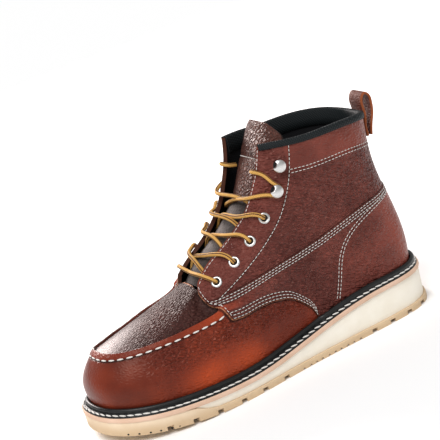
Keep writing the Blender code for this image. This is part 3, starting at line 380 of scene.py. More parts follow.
    def lap(self, i):
        """Where the quarter's lower edge crosses rib i."""
        along = self.foot[i, 1]
        arch = np.array(ARCH)
        behind = ease((along - arch[-1, 0]) / ARCH_FADE)
        height = cubic(arch[:, 0], arch[:, 1:], [np.clip(along, arch[0, 0], arch[-1, 0])])[0, 0]
        height += 0.0 if self.foot[i, 0] > 0 else ARCH_LIFT_INNER
        params = np.linspace(0.0, 0.46, 90)
        found = float(np.interp(height, self.rib(i, params)[:, 2], params))
        return max(found, LAP_LEAST / self.lengths(i)[0]) + 0.2 * behind


last = Last(finer=6)
print("last:", len(last.places), "ribs")

# %% [markdown]
# The leather skin. The upper is cut from panels, but on the last they make one skin: the vamp below the
# moc seam, the plug on top, and the quarters lapped over both, ending in front in a curved flap. A grid
# of cells is laid on the ribs. Its rows crowd together where a panel ends, so that the lap edges and the
# rolled moc seam are real steps. Going on over the top line, the same grid comes down inside as the
# lining.

# %% Lines of the panels
ROW_COUNTS = (20, 6, 26, 6, 30)
EDGE_BAND = 1.4
INSIDE_ROWS = 18
MOC_PITCH, PUCKER = 7.7, 0.28
ROLLED = (
    # distance in from the moc seam, height of the rolled ridge
    (-2.0, 0.0), (-1.0, -0.3), (0.0, 0.0), (1.0, 1.15), (2.4, 1.75), (4.4, 2.45), (5.2, 2.45), (5.8, 1.5),
    (6.4, 0.1), (7.2, 0.0),
)
ROLLED_MARKS = (-3.4, -1.4, 7.2, 9.2)
DIAGONAL = (
    # along, up
    (-46.0, 79.5), (-37.7, 80.5), (-20.7, 83.3), (-1.7, 85.3), (18.0, 87.8), (37.7, 90.0), (58.5, 92.8),
    (80.0, 97.2), (108.0, 102.0), (138.5, 104.5), (153.0, 105.2),
)
DIAGONAL_LIFT_INNER = 4.5
FLAP_EDGE = (
    # place on the rib, along
    (0.0, -34.9), (0.45, -35.5), (0.5, -36.9), (0.54, -37.7), (0.58, -39.0), (0.62, -40.6), (0.66, -42.2),
    (0.72, -44.0), (0.83, -45.1), (0.93, -45.2), (0.98, -44.4), (1.0, -43.5),
)
FAR_OFF, CORNER_SHARP = 60.0, 0.9
CREASES = (
    # along and up of one end, of the other end, half width, depth
    (-50.0, 46.0, -60.0, 66.0, 5.0, 0.5),
    (-66.0, 42.0, -76.0, 63.0, 5.5, 0.45),
    (62.0, 112.0, 118.0, 119.0, 8.0, 0.8),
    (66.0, 127.0, 128.0, 132.0, 7.0, 0.6),
    (20.0, 101.0, 60.0, 110.0, 7.0, 0.6),
    (-2.0, 91.0, 30.0, 96.0, 5.0, 0.4),
    (84.0, 66.0, 128.0, 74.0, 9.0, 0.5),
)


# %% The skin as a class
class Skin:
    """The skin's grid: points of the outside and the inside, and where each row lies in millimetres."""

    def __init__(self):
        every = range(len(last.places))
        self.low, self.high = np.array([last.lengths(i) for i in every]).T
        self.lap = self.length(np.array([last.lap(i) for i in every]))
        self.diagonal = self.length(np.array([self.diagonal_on(i) for i in every]))
        self.rows = np.array([self.rows_of(i) for i in every])
        base = np.array([last.rib(i, self.rows[i]) for i in every])
        self.normal = self.outward(base)
        reach = self.length(self.rows)
        self.from_seam = reach - self.low[:, None]
        self.from_diagonal = reach - self.diagonal[:, None]
        self.from_top = (self.low + self.high)[:, None] - reach
        self.from_lap = np.where((last.foot[:, 1] < ARCH[-1][0])[:, None], reach - self.lap[:, None], FAR_OFF)
        self.flap = base[:, :, 1] - np.interp(self.rows, *np.array(FLAP_EDGE).T)
        sharp = CORNER_SHARP
        self.from_edge = -np.logaddexp(-sharp * self.flap, -sharp * self.from_lap) / sharp
        self.outer = base + self.normal * (self.relief() - self.crease_depth(base))[:, :, None]
        self.inner = base - self.normal * WALL_THICK
        for wall in (self.outer, self.inner):
            wall[:, 0, 2] = sole_top_z(wall[:, 0, 1]) + GAP

    def length(self, params):
        """Distance from the foot of each rib at a param of it."""
        low, high = (self.low, self.high) if params.ndim == 1 else (self.low[:, None], self.high[:, None])
        return np.where(params <= 0.5, params * 2 * low, low + (params - 0.5) * 2 * high)

    def diagonal_on(self, i):
        """Where the quarter's upper edge crosses rib i."""
        params = np.linspace(0.3, 0.9, 90)
        rib = last.rib(i, params)
        height = np.interp(rib[:, 1], *np.array(DIAGONAL).T)
        if last.foot[i, 0] < 0:
            height += DIAGONAL_LIFT_INNER * ease((120.0 - rib[:, 1]) / 100.0)
        return float(np.interp(0.0, rib[:, 2] - height, params))

    def rows_of(self, i):
        low, high = self.low[i], self.high[i]
        side = np.repeat((self.lap[i], self.diagonal[i]), 2) + np.tile((-EDGE_BAND, EDGE_BAND), 2)
        toe = low + np.array(ROLLED_MARKS)
        marks = side + (toe - side) * ease((-14.0 - last.foot[i, 1]) / 22.0)
        marks = np.concatenate([[0.0], marks, [low + high]])
        parts = [np.linspace(a, b, n, endpoint=False) for a, b, n in zip(marks, marks[1:], ROW_COUNTS)]
        reach = np.append(np.concatenate(parts), low + high)
        return np.where(reach <= low, reach / (2 * low), 0.5 + (reach - low) / (2 * high))

    def outward(self, base):
        around = np.roll(base, -1, axis=0) - np.roll(base, 1, axis=0)
        made = np.cross(np.gradient(base, axis=1), around)
        for _ in range(3):
            padded = np.concatenate([made[:, :1], made, made[:, -1:]], axis=1)
            made = (padded[:, :-2] + padded[:, 1:-1] * 2 + padded[:, 2:]) / 4
        return unit(made)

    def relief(self):
        """How far the panels stand out: the rolled moc seam, and the quarter lapped over it."""
        is_toe = ease((-10.0 - last.foot[:, 1]) / 26.0)[:, None]
        rolled = np.interp(self.from_seam, *np.array(ROLLED).T)
        moc_run = chords(last.seam)[:, None]
        pull = np.cos(2 * math.pi * moc_run / MOC_PITCH) * np.exp(-(((self.from_seam + 0.6) / 1.3) ** 2))
        on_top = ease(self.from_edge / 0.9 + 0.5)
        panel = QUARTER_STEP - (QUARTER_STEP - SHAFT_STEP) * ease(self.from_diagonal / 0.8 + 0.5)
        return (rolled - PUCKER * pull * last.front[:, None]) * is_toe + panel * on_top

    def crease_depth(self, base):
        """Soft troughs with a low ridge on each side, each along a line in the side view."""
        depth = np.zeros(base.shape[:2])
        for y0, z0, y1, z1, half, deep in CREASES:
            start, way = np.array((y0, z0)), np.array((y1 - y0, z1 - z0))
            share = np.clip((base[:, :, 1:] - start) @ way / (way @ way), 0.0, 1.0)
            off = np.linalg.norm(base[:, :, 1:] - start - share[:, :, None] * way, axis=2) / half
            depth += deep * (1.0 - off**2) * np.exp(-(off**2)) * np.sin(math.pi * (0.1 + 0.8 * share))
        return depth

    def where(self, i, field, value):
        """Point and normal on rib i where a field has a value, and how far behind the flap's edge that is."""
        order = slice(None, None, 1 if field[i, -1] > field[i, 0] else -1)
        rows = np.column_stack([self.outer[i], self.normal[i], self.flap[i]])[order]
        *spot, behind_edge = read(value, field[i][order], rows)
        return np.array(spot), behind_edge


skin = Skin()
print("skin:", skin.outer.shape[0], "by", skin.outer.shape[1], "corners")

# %% [markdown]
# Making a piece. Four small helpers serve every new piece: create_grid makes a sheet of cells whose
# corners are then laid on a surface, a finished mesh becomes a shaded object that rides with the boot, a
# copy of a solid is welded before it is shaped, and one small shape is repeated many times as one joined
# mesh.

# %% Helpers for pieces
WELD = 0.000002
HARD_EDGE, SAME_PLANE = math.radians(40), math.radians(0.6)


def laid_grid(points, values=None, bands=((0, 0),), measure=None, capped=False):
    """A bmesh sheet from create_grid with each corner laid on its point. Values are per corner.
    Bands give a first row and the index of its material, and capped fills the open ends."""
    across, along = points.shape[0] - 1, points.shape[1] - 1
    bm = bmesh.new()
    bmesh.ops.create_grid(bm, x_segments=across, y_segments=along, size=1.0)
    layers = {name: bm.verts.layers.float.new(name) for name in values or {}}
    chart = bm.loops.layers.uv.new("UVMap") if measure is not None else None
    place = {}
    for vert in bm.verts:
        i, j = round((vert.co.x + 1) / 2 * across), round((vert.co.y + 1) / 2 * along)
        place[vert] = i, j
        vert.co = Vector(points[i, j]) * MM
        for name, layer in layers.items():
            vert[layer] = values[name][i, j]
    for face in bm.faces:
        row = min(place[vert][1] for vert in face.verts)
        face.material_index = [index for start, index in bands if row >= start][-1]
        if chart:
            for loop in face.loops:
                loop[chart].uv = measure[place[loop.vert]]
    bmesh.ops.remove_doubles(bm, verts=bm.verts, dist=WELD)
    bmesh.ops.dissolve_degenerate(bm, edges=bm.edges, dist=WELD)
    if capped:
        bmesh.ops.holes_fill(bm, edges=[e for e in bm.edges if e.is_boundary])
    bmesh.ops.recalc_face_normals(bm, faces=bm.faces)
    return bm


def closed(points, *axes):
    """Repeats the first row of each axis at its end, so that a sheet closes into a ring or a doughnut."""
    for axis in axes:
        points = np.concatenate([points, np.take(points, [0], axis=axis)], axis=axis)
    return points


def finish_piece(name, bm, materials, replaces=(), sharp=55.0):
    mesh = bpy.data.meshes.new(name)
    bm.to_mesh(mesh)
    bm.free()
    return place_piece(name, mesh, materials, replaces, sharp)


def place_piece(name, mesh, materials, replaces=(), sharp=55.0):
    mesh.shade_smooth()
    mesh.set_sharp_from_angle(angle=math.radians(sharp))
    for material in materials:
        mesh.materials.append(material)
    piece = bpy.data.objects.new(name, mesh)
    bpy.context.scene.collection.objects.link(piece)
    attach(piece, "root")
    if replaces:
        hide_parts(*replaces)
    return piece


def copy_of(node):
    """A welded copy of a solid, with its flat faces whole again."""
    bm = bmesh.new()
    bm.from_mesh(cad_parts[node].data)
    bmesh.ops.remove_doubles(bm, verts=bm.verts, dist=WELD)
    bmesh.ops.dissolve_limit(bm, angle_limit=SAME_PLANE, verts=bm.verts, edges=bm.edges)
    return bm


def round_edges(bm, by):
    hard = [e for e in bm.edges if len(e.link_faces) == 2 and e.calc_face_angle() > HARD_EDGE]
    bmesh.ops.bevel(
        bm, geom=hard, offset=by * MM, offset_type="OFFSET", affect="EDGES", segments=2, profile=0.5,
        material=-1, clamp_overlap=True,
    )


def joined(name, template, matrices):
    """One mesh of many copies of a small bmesh shape, one for each 4 by 4 matrix."""
    template.verts.index_update()
    corners = np.array([[*vert.co, 1.0] for vert in template.verts])
    faces = np.array([[vert.index for vert in face.verts] for face in template.faces])
    template.free()
    places = np.einsum("nij,vj->nvi", np.array(matrices), corners)[:, :, :3].reshape(-1, 3)
    steps = (np.arange(len(matrices)) * len(corners))[:, None, None]
    mesh = bpy.data.meshes.new(name)
    mesh.from_pydata(places.tolist(), [], (faces[None] + steps).reshape(-1, faces.shape[1]).tolist())
    return mesh


# %% [markdown]
# Materials. Each is a small tree of nodes. These helpers add a node, mix two colours, do a sum and
# stretch a value to 0 to 1, so that a material reads from top to bottom like a recipe.


# %% Helpers for materials
def plug(tree, value, socket):
    """Links a socket to another, or sets it; a colour gets its opaque fourth number."""
    if isinstance(value, bpy.types.NodeSocket):
        tree.links.new(value, socket)
    else:
        socket.default_value = (*value, 1.0) if socket.type == "RGBA" else value


def feed(tree, node, **inputs):
    for key, value in inputs.items():
        plug(tree, value, node.inputs[key.replace("_", " ")])


def add_node(tree, kind, settings=None, **inputs):
    node = tree.nodes.new(kind)
    for key, value in (settings or {}).items():
        setattr(node, key, value)
    feed(tree, node, **inputs)
    return node


def maths(tree, operation, *values):
    node = add_node(tree, "ShaderNodeMath", {"operation": operation})
    for value, socket in zip(values, node.inputs):
        plug(tree, value, socket)
    return node.outputs[0]


def times(tree, first, *others):
    for other in others:
        first = maths(tree, "MULTIPLY", first, other)
    return first


def blend(tree, share, one, two):
    node = add_node(tree, "ShaderNodeMix", {"data_type": "RGBA"})
    for value, index in ((share, 0), (one, 6), (two, 7)):
        plug(tree, value, node.inputs[index])
    return node.outputs[2]


def spread(tree, value, low, high):
    """Stretches low to high onto 0 to 1, with soft ends."""
    soft = {"interpolation_type": "SMOOTHSTEP"}
    return add_node(tree, "ShaderNodeMapRange", soft, Value=value, From_Min=low, From_Max=high).outputs[0]


def noise_at(tree, vector, scale, detail=3.0):
    return add_node(tree, "ShaderNodeTexNoise", Vector=vector, Scale=scale, Detail=detail).outputs[0]


def slanted_wave(tree, vector, scale):
    settings = {"bands_direction": "DIAGONAL"}
    return add_node(tree, "ShaderNodeTexWave", settings, Vector=vector, Scale=scale).outputs["Fac"]


def painted(tree, name):
    """A value stored on the mesh."""
    return add_node(tree, "ShaderNodeAttribute", {"attribute_name": name}).outputs["Fac"]


def new_material(name, colour, roughness, shine=0.5, **more):
    """A material with a Principled shader, its tree, its shader node and object coordinates."""
    material = bpy.data.materials.new(name)
    material.use_nodes = True
    tree = material.node_tree
    shader = tree.nodes["Principled BSDF"]
    feed(tree, shader, Base_Color=colour, Roughness=roughness, Specular_IOR_Level=shine, **more)
    return material, tree, shader, tree.nodes.new("ShaderNodeTexCoord").outputs["Object"]


def bump(tree, shader, height, depth):
    """Raises the surface by height, of which 1 stands for depth in metres."""
    made = add_node(tree, "ShaderNodeBump", Height=height, Distance=depth, Strength=1.0)
    plug(tree, made.outputs[0], shader.inputs["Normal"])


def new_group(name, inputs, outputs):
    """A node group with named number sockets; a Vector input is always there."""
    group = bpy.data.node_groups.new(name, "ShaderNodeTree")
    group.interface.new_socket("Vector", in_out="INPUT", socket_type="NodeSocketVector")
    for key, value in inputs.items():
        socket = group.interface.new_socket(key, in_out="INPUT", socket_type="NodeSocketFloat")
        socket.default_value = value
    for key in outputs:
        group.interface.new_socket(key, in_out="OUTPUT", socket_type="NodeSocketFloat")
    return group, group.nodes.new("NodeGroupInput").outputs, group.nodes.new("NodeGroupOutput").inputs


def use_group(tree, group, **inputs):
    return add_node(tree, "ShaderNodeGroup", {"node_tree": group}, **inputs).outputs


# %% [markdown]
# Pebbled leather. Tumbled hide shows rounded pebbles with fine valleys between them. Voronoi cells give
# the valleys, and a noise bends them so that no row lines up. A second group clouds the stain, and a
# third draws a thin line at a distance from an edge, for grooves and cut edges that have to stay sharp.
# Scales count features in a metre.

# %% Grain groups
BEND_SCALE, BEND_BY, PORE_SCALE, PORE_SHARE = 170.0, 0.0022, 1900.0, 0.02

pebbles, given, wanted = new_group("pebble_grain", {"Scale": 330.0}, ("Height", "Valley"))
bend = add_node(pebbles, "ShaderNodeTexNoise", Vector=given["Vector"], Scale=BEND_SCALE, Detail=1.0)
bend = bend.outputs[1]
bend = add_node(pebbles, "ShaderNodeVectorMath", {"operation": "SCALE"}, Vector=bend, Scale=BEND_BY)
moved = add_node(pebbles, "ShaderNodeVectorMath", {"operation": "ADD"})
plug(pebbles, given["Vector"], moved.inputs[0])
plug(pebbles, bend.outputs[0], moved.inputs[1])
to_edge = {"feature": "DISTANCE_TO_EDGE"}
cells = add_node(pebbles, "ShaderNodeTexVoronoi", to_edge, Vector=moved.outputs[0], Scale=given["Scale"])
dome = spread(pebbles, cells.outputs["Distance"], 0.0, 0.42)
pores = times(pebbles, noise_at(pebbles, given["Vector"], PORE_SCALE, 2.0), PORE_SHARE)
plug(pebbles, maths(pebbles, "ADD", dome, pores), wanted["Height"])
plug(pebbles, spread(pebbles, cells.outputs["Distance"], 0.1, 0.0), wanted["Valley"])

mottle, given, wanted = new_group("mottle", {"Scale": 40.0}, ("Cloud", "Speck"))
cloud = noise_at(mottle, given["Vector"], given["Scale"], 4.0)
plug(mottle, spread(mottle, cloud, 0.32, 0.68), wanted["Cloud"])
speck = noise_at(mottle, given["Vector"], times(mottle, given["Scale"], 24.0), 2.0)
plug(mottle, spread(mottle, speck, 0.35, 0.65), wanted["Speck"])

thin_line, given, wanted = new_group("thin_line", {"Value": 0.0, "Middle": 0.0, "Half": 0.4}, ("Mask",))
off_it = maths(thin_line, "ABSOLUTE", maths(thin_line, "SUBTRACT", given["Value"], given["Middle"]))
off_it = maths(thin_line, "DIVIDE", off_it, given["Half"])
plug(thin_line, spread(thin_line, off_it, 1.0, 0.45), wanted["Mask"])

# %% [markdown]
# The boot's leather. It is oiled red-brown hide: dark and pebbled on the quarters and the plug, polished
# and brighter where it is pulled tight, round the toe, low on the vamp and at the heel. The skin's mesh
# carries these zones as values, and its distance from each panel's edge in millimetres. Dark hide is
# easily washed out by a white room, so its mirror shine is kept low and warm, and gloss comes as a thin
# coat where it shows. On the quarters long shallow wrinkles run down towards the heel, so both grains are
# drawn out that way.

# %% The boot's leather
QUARTER_DARK, QUARTER_LIGHT = (0.123, 0.032, 0.026), (0.2, 0.053, 0.041)
VAMP_DARK, VAMP_LIGHT, BURNISHED = (0.130, 0.021, 0.012), (0.215, 0.033, 0.015), (0.46, 0.062, 0.016)
# The last colour here is the near-black of painted shade, laid in the grain's valleys, the wrinkles' troughs,
# the stitch grooves and the shadows beside lapped edges.
PLUG_DARK, PLUG_LIGHT, PAINTED_SHADE = (0.050, 0.017, 0.015), (0.085, 0.028, 0.024), (0.018, 0.006, 0.005)
RAW_EDGE, WARM_SHINE = (0.52, 0.22, 0.11), (1.0, 0.74, 0.62)
DIAGONAL_ROWS, ARCH_ROWS = (-1.5, -3.6, -5.7), (1.6, 4.2, 6.8)
GRAIN_TURN, PEBBLE_STRETCH, WRINKLE_STRETCH = math.radians(-23), (0.9, 1.6, 0.8), (1.0, 3.2, 0.9)
PEBBLE_SCALE, WRINKLE_SCALE, STAIN_SCALE, GRAIN_DEPTH = 330.0, 380.0, 34.0, 0.0015


def drawn_out(tree, where, stretch):
    turn, settings = (GRAIN_TURN, 0.0, 0.0), {"vector_type": "TEXTURE"}
    node = add_node(tree, "ShaderNodeMapping", settings, Vector=where, Rotation=turn, Scale=stretch)
    return node.outputs[0]


def line_at(tree, value, middle, half):
    return use_group(tree, thin_line, Value=value, Middle=middle, Half=half)["Mask"]


def groove_mask(tree):
    """1 where a row of stitches sinks in, and along the edge over the diagonal seam."""
    rows = [("diagonal_mm", middle, 0.6) for middle in DIAGONAL_ROWS] + [("diagonal_mm", 0.1, 0.45)]
    rows += [("lap_mm", middle, 0.55) for middle in ARCH_ROWS] + [("stay_mm", 0.0, 0.6)]
    made = 0.0
    for name, middle, half in rows:
        made = maths(tree, "MAXIMUM", made, line_at(tree, painted(tree, name), middle, half))
    return made


def stain(tree, cloud, vamp, on_plug, warm):
    """The panels' colours, clouded, and burnished where the hide is warm."""
    colour = blend(tree, cloud, QUARTER_DARK, QUARTER_LIGHT)
    colour = blend(tree, vamp, colour, blend(tree, cloud, VAMP_DARK, VAMP_LIGHT))
    colour = blend(tree, on_plug, colour, blend(tree, cloud, PLUG_DARK, PLUG_LIGHT))
    glow = times(tree, warm, maths(tree, "MULTIPLY_ADD", cloud, 0.3, 0.7))
    return blend(tree, glow, colour, BURNISHED)


def make_boot_leather():
    material, tree, shader, where = new_material(
        "boot_leather", QUARTER_DARK, 0.45, 0.22, Specular_Tint=WARM_SHINE, Coat_Roughness=0.36
    )
    zones = ("tight", "warm", "vamp", "plug", "deep", "gloss", "edge_mm")
    tight, warm, vamp, on_plug, deep, gloss, edge = (painted(tree, name) for name in zones)
    pebble = use_group(tree, pebbles, Vector=drawn_out(tree, where, PEBBLE_STRETCH), Scale=PEBBLE_SCALE)
    wave = noise_at(tree, drawn_out(tree, where, WRINKLE_STRETCH), WRINKLE_SCALE, 0.0)
    loose = maths(tree, "MULTIPLY_ADD", tight, -0.93, 1.0)
    slack = times(tree, loose, maths(tree, "SUBTRACT", 1.0, maths(tree, "MAXIMUM", on_plug, vamp)))
    # Painted shade in the wrinkles' troughs.
    wrinkle_shade = times(tree, spread(tree, wave, 0.56, 0.38), slack, 0.2)
    # Painted shade in the pebbles' valleys, deeper on the plug.
    valley_shade = times(tree, pebble["Valley"], loose, maths(tree, "MULTIPLY_ADD", on_plug, 0.45, 0.42))
    groove = groove_mask(tree)
    cloud = use_group(tree, mottle, Vector=where, Scale=STAIN_SCALE)["Cloud"]
    colour = stain(tree, cloud, vamp, on_plug, warm)
    # Painted shade from the deep value, the grain's valleys and the wrinkles' troughs; painted shade in the
    # stitch grooves and along the diagonal seam's edge; and a painted shadow beside a lapped edge. The raw
    # edge's lighter colour is its own.
    shades = (
        (maths(tree, "MAXIMUM", maths(tree, "MAXIMUM", valley_shade, wrinkle_shade), deep), 1.0, PAINTED_SHADE),
        (groove, 0.8, PAINTED_SHADE),
        (line_at(tree, edge, -0.9, 1.1), 0.75, PAINTED_SHADE),
        (line_at(tree, edge, 0.1, 0.4), 0.85, RAW_EDGE),
    )
    for mask, weight, shade in shades:
        colour = blend(tree, times(tree, mask, weight), colour, shade)
    height = maths(tree, "MULTIPLY_ADD", groove, -0.3, times(tree, pebble["Height"], loose))
    bump(tree, shader, maths(tree, "ADD", height, times(tree, wave, slack, 2.0)), GRAIN_DEPTH)
    rough = maths(tree, "MULTIPLY_ADD", on_plug, 0.12, maths(tree, "MULTIPLY_ADD", loose, 0.06, 0.34))
    feed(tree, shader, Base_Color=colour, Roughness=rough, Coat_Weight=times(tree, gloss, 0.5))
    return material


# %% Other leathers
TRIM_STAIN_SCALE = 45.0


def make_hide(name, dark, light, grain, depth, rough):
    """Plain hide for the trim: pebbles, a clouded stain and painted shade in the valleys."""
    material, tree, shader, where = new_material(name, dark, rough, 0.25, Specular_Tint=WARM_SHINE)
    pebble = use_group(tree, pebbles, Vector=where, Scale=grain)
    cloud = use_group(tree, mottle, Vector=where, Scale=TRIM_STAIN_SCALE)["Cloud"]
    # Painted shade in the pebbles' valleys.
    valley_shade = times(tree, pebble["Valley"], min(1.0, depth / 0.0008))
    feed(tree, shader, Base_Color=blend(tree, valley_shade, blend(tree, cloud, dark, light), PAINTED_SHADE))
    bump(tree, shader, pebble["Height"], depth)
    return material


def make_cut_edge(name, dark, light):
    """The raw edge of a cut hide, stained lighter than its face."""
    material, tree, shader, where = new_material(name, light, 0.65, 0.2, Specular_Tint=WARM_SHINE)
    grain = noise_at(tree, where, 900.0)
    feed(tree, shader, Base_Color=blend(tree, grain, dark, light))
    bump(tree, shader, grain, 0.0002)
    return material


def make_tongue_leather(dark, light, satin):
    """Pebbled hide on the tongue's upper block, and a calm dark panel where the mesh says calm."""
    material, tree, shader, where = new_material("tongue_leather", dark, 0.4, 0.28, Specular_Tint=WARM_SHINE)
    pebble = use_group(tree, pebbles, Vector=where, Scale=300.0)
    cloud = use_group(tree, mottle, Vector=where, Scale=TRIM_STAIN_SCALE)["Cloud"]
    calm = painted(tree, "calm")
    # Painted shade in the pebbles' valleys.
    colour = blend(tree, pebble["Valley"], blend(tree, cloud, dark, light), PAINTED_SHADE)
    rough = maths(tree, "MULTIPLY_ADD", calm, 0.2, 0.42)
    feed(tree, shader, Base_Color=blend(tree, calm, colour, satin), Roughness=rough)
    bump(tree, shader, times(tree, pebble["Height"], maths(tree, "MULTIPLY_ADD", calm, -0.9, 1.0)), 0.0016)
    return material


boot_leather = make_boot_leather()
tongue_leather = make_tongue_leather((0.085, 0.032, 0.025), (0.150, 0.060, 0.046), (0.034, 0.029, 0.028))
dark_rim = make_hide("dark_rim", (0.012, 0.007, 0.006), (0.022, 0.012, 0.010), 700.0, 0.0003, 0.5)
strap_leather = make_hide("strap_leather", (0.095, 0.021, 0.013), (0.150, 0.036, 0.021), 500.0, 0.0004, 0.55)
strap_edge = make_cut_edge("strap_edge", (0.20, 0.050, 0.018), (0.36, 0.10, 0.035))
cut_edge = make_cut_edge("cut_edge", (0.035, 0.011, 0.007), (0.075, 0.024, 0.013))

# %% [markdown]
# Cloth and trim. The lining is a black knit, the collar's edge a black woven tape. A knit is two crossed
# waves, fine enough to read as cloth and not as a pattern.


# %% Cloth materials
WAVES_PER_PITCH = 0.32


def make_cloth(name, dark, light, pitch, depth, rough):
    material, tree, shader, where = new_material(name, light, rough, 0.2)
    quarter = math.radians(90)
    turned = add_node(tree, "ShaderNodeMapping", Vector=where, Rotation=(0.0, quarter, quarter)).outputs[0]
    weave = times(tree, *(slanted_wave(tree, vector, WAVES_PER_PITCH / pitch) for vector in (where, turned)))
    feed(tree, shader, Base_Color=blend(tree, weave, dark, light))
    bump(tree, shader, weave, depth)
    return material


lining_cloth = make_cloth("lining_cloth", (0.003, 0.003, 0.004), (0.009, 0.009, 0.010), 0.0010, 0.0002, 0.85)
binding_tape = make_cloth("binding_tape", (0.005, 0.007, 0.008), (0.020, 0.026, 0.028), 0.0012, 0.0003, 0.6)

# %% [markdown]
# Sole and hardware. A storm welt of black rubber, a strip of pinkish tan, a wedge of off-white foam and a
# tan tread. Moulded rubber isn't one colour: it clouds a little and has pores. The eyelets are nickel,
# polished but handled.


# %% Rubber, foam and metal
SPRING_RATE, DARKEN_TOP, DARKEN_FULL, UNDERSIDE_TINT = 8.1, 0.012, 0.002, (0.72, 0.62, 0.48)


def make_rubber(name, one, two, rough, pore_scale, pore_depth, darken_low=0.0, shine=0.3):
    material, tree, shader, where = new_material(name, one, rough, shine)
    cloud = use_group(tree, mottle, Vector=where, Scale=55.0)
    colour = blend(tree, cloud["Cloud"], one, two)
    # The tread is darker and browner towards its underside.
    if darken_low:
        _, along, up_z = add_node(tree, "ShaderNodeSeparateXYZ", Vector=where).outputs
        ahead = maths(tree, "MULTIPLY_ADD", along, -SPRING_RATE, SPRING_RATE * SPRING_FROM * MM)
        spring = maths(tree, "POWER", maths(tree, "MAXIMUM", ahead, 0.0), SPRING_CURVE)
        over_tread = maths(tree, "MULTIPLY_ADD", spring, -TOE_SPRING * MM, up_z)
        low = times(tree, spread(tree, over_tread, DARKEN_TOP, DARKEN_FULL), darken_low)
        colour = blend(tree, low, colour, tuple(x * y for x, y in zip(two, UNDERSIDE_TINT)))
    worn = maths(tree, "MULTIPLY_ADD", cloud["Speck"], 0.12, rough - 0.06)
    feed(tree, shader, Base_Color=colour, Roughness=worn)
    bump(tree, shader, noise_at(tree, where, pore_scale, 2.0), pore_depth)
    return material


def make_metal(name, colour, rough):
    material, tree, shader, where = new_material(name, colour, rough, Metallic=1.0)
    handled = noise_at(tree, where, 420.0)
    feed(tree, shader, Roughness=maths(tree, "MULTIPLY_ADD", handled, 0.18, rough - 0.09))
    bump(tree, shader, handled, 0.00006)
    return material


for_welt = (0.006, 0.007, 0.007), (0.012, 0.013, 0.013), 0.4, 1500.0, 0.00008
for_tread = (0.74, 0.58, 0.41), (0.81, 0.66, 0.49), 0.65, 1100.0, 0.00012
welt_rubber = make_rubber("welt_rubber", *for_welt, shine=0.35)
midsole_tan = make_rubber("midsole_tan", (0.68, 0.45, 0.32), (0.75, 0.52, 0.39), 0.7, 1800.0, 0.0001)
wedge_foam = make_rubber("wedge_foam", (0.90, 0.84, 0.72), (0.94, 0.89, 0.78), 0.75, 1300.0, 0.0001)
tread_rubber = make_rubber("tread_rubber", *for_tread, darken_low=0.8)
nickel = make_metal("nickel", (0.72, 0.71, 0.70), 0.34)
# A black for painted shade: in the eyelets' holes, the toe's slots and under the hooks' caps.
hole_shade, *_ = new_material("hole_shade", (0.004, 0.004, 0.004), 0.9)

# %% [markdown]
# Thread and lace. Sewing thread is two plies twisted together, so a stitch shows slanting ridges. The
# lace is a round braid in gold with three dark brown lines along it, so that one of them shows from every
# side. It follows the mesh's own map, in millimetres along and turns around, because the pattern has to
# follow the cord.


# %% Thread and lace materials
GOLD, AMBER, BROWN = (0.80, 0.47, 0.13), (0.58, 0.27, 0.05), (0.105, 0.034, 0.011)
PLAIT_LENGTH, STRANDS, DARK_LINES = 1.5, 8.0, 3.0


def make_thread(name, colour):
    material, tree, shader, where = new_material(name, colour, 0.62)
    twist = slanted_wave(tree, where, 420.0)
    feed(tree, shader, Base_Color=blend(tree, twist, tuple(x * 0.75 for x in colour), colour))
    bump(tree, shader, twist, 0.0001)
    return material


def make_lace_braid():
    material, tree, shader, _ = new_material("lace_braid", GOLD, 0.6, 0.3)
    chart = add_node(tree, "ShaderNodeUVMap", {"uv_map": "UVMap"}).outputs[0]
    along, around, _ = add_node(tree, "ShaderNodeSeparateXYZ", Vector=chart).outputs
    plait = []
    for slant in (1.0, -1.0):
        turn = maths(tree, "MULTIPLY_ADD", along, slant / PLAIT_LENGTH, times(tree, around, STRANDS))
        plait.append(maths(tree, "SINE", times(tree, turn, 2 * math.pi)))
    braid = spread(tree, maths(tree, "MAXIMUM", *plait), -0.2, 1.0)
    line = line_at(tree, maths(tree, "FRACT", times(tree, around, DARK_LINES)), 0.5, 0.2)
    feed(tree, shader, Base_Color=blend(tree, line, blend(tree, braid, AMBER, GOLD), BROWN))
    bump(tree, shader, braid, 0.0003)
    return material


white_thread = make_thread("white_thread", (0.84, 0.81, 0.76))
lace_braid = make_lace_braid()
print("materials:", len(bpy.data.materials))

# %% [markdown]
# Dressing the upper. The skin's sheet closes round the foot and round its own wall. Values are painted on
# it as the hide was finished: tight where it is smooth, warm where it was burnished, glossy where it was
# polished, and which panel it is. A value named deep is painted shade: in the creases at the moc ridge's
# feet, on the plug's rear and over the toe's front, and a little over the eyestay. Three small helpers say
# where a zone lies, in millimetres: past a place, short of a place, or close to it.

# %% The upper's skin
EYESTAY_SEAM = (
    # along, up
    (55.6, 174.0), (51.5, 157.9), (45.7, 143.3), (37.6, 129.7), (28.6, 119.1), (15.9, 109.0),
    (4.0, 101.3), (-9.5, 93.9), (-26.0, 85.6), (-37.8, 79.8),
)
COUNTER_SEAM = (
    # along, up
    (136.0, 99.5), (119.0, 96.3), (103.0, 92.0), (84.6, 83.1), (74.2, 71.5), (67.6, 54.2), (61.5, 37.5),
)
COLLAR_BAND = 24.5


def off_line(points, line):
    """Distance in the side view from each point to a smooth line, below zero on the line's right."""
    line = smooth_path(np.array(line), 60)
    best = np.full(points.shape[:2], FAR_OFF)
    for one, two in zip(line, line[1:]):
        way, to = two - one, points[:, :, 1:] - one
        share = np.clip(to @ way / (way @ way), 0.0, 1.0)
        off = np.linalg.norm(to - share[:, :, None] * way, axis=2)
        side = np.sign(way[0] * to[:, :, 1] - way[1] * to[:, :, 0])
        best = np.where(off < np.abs(best), off * side, best)
    return best


def near(x, middle, half):
    return np.exp(-(((x - middle) / half) ** 2))


def past(x, start, run):
    return ease((x - start) / run)


def short_of(x, end, run):
    return ease((end - x) / run)


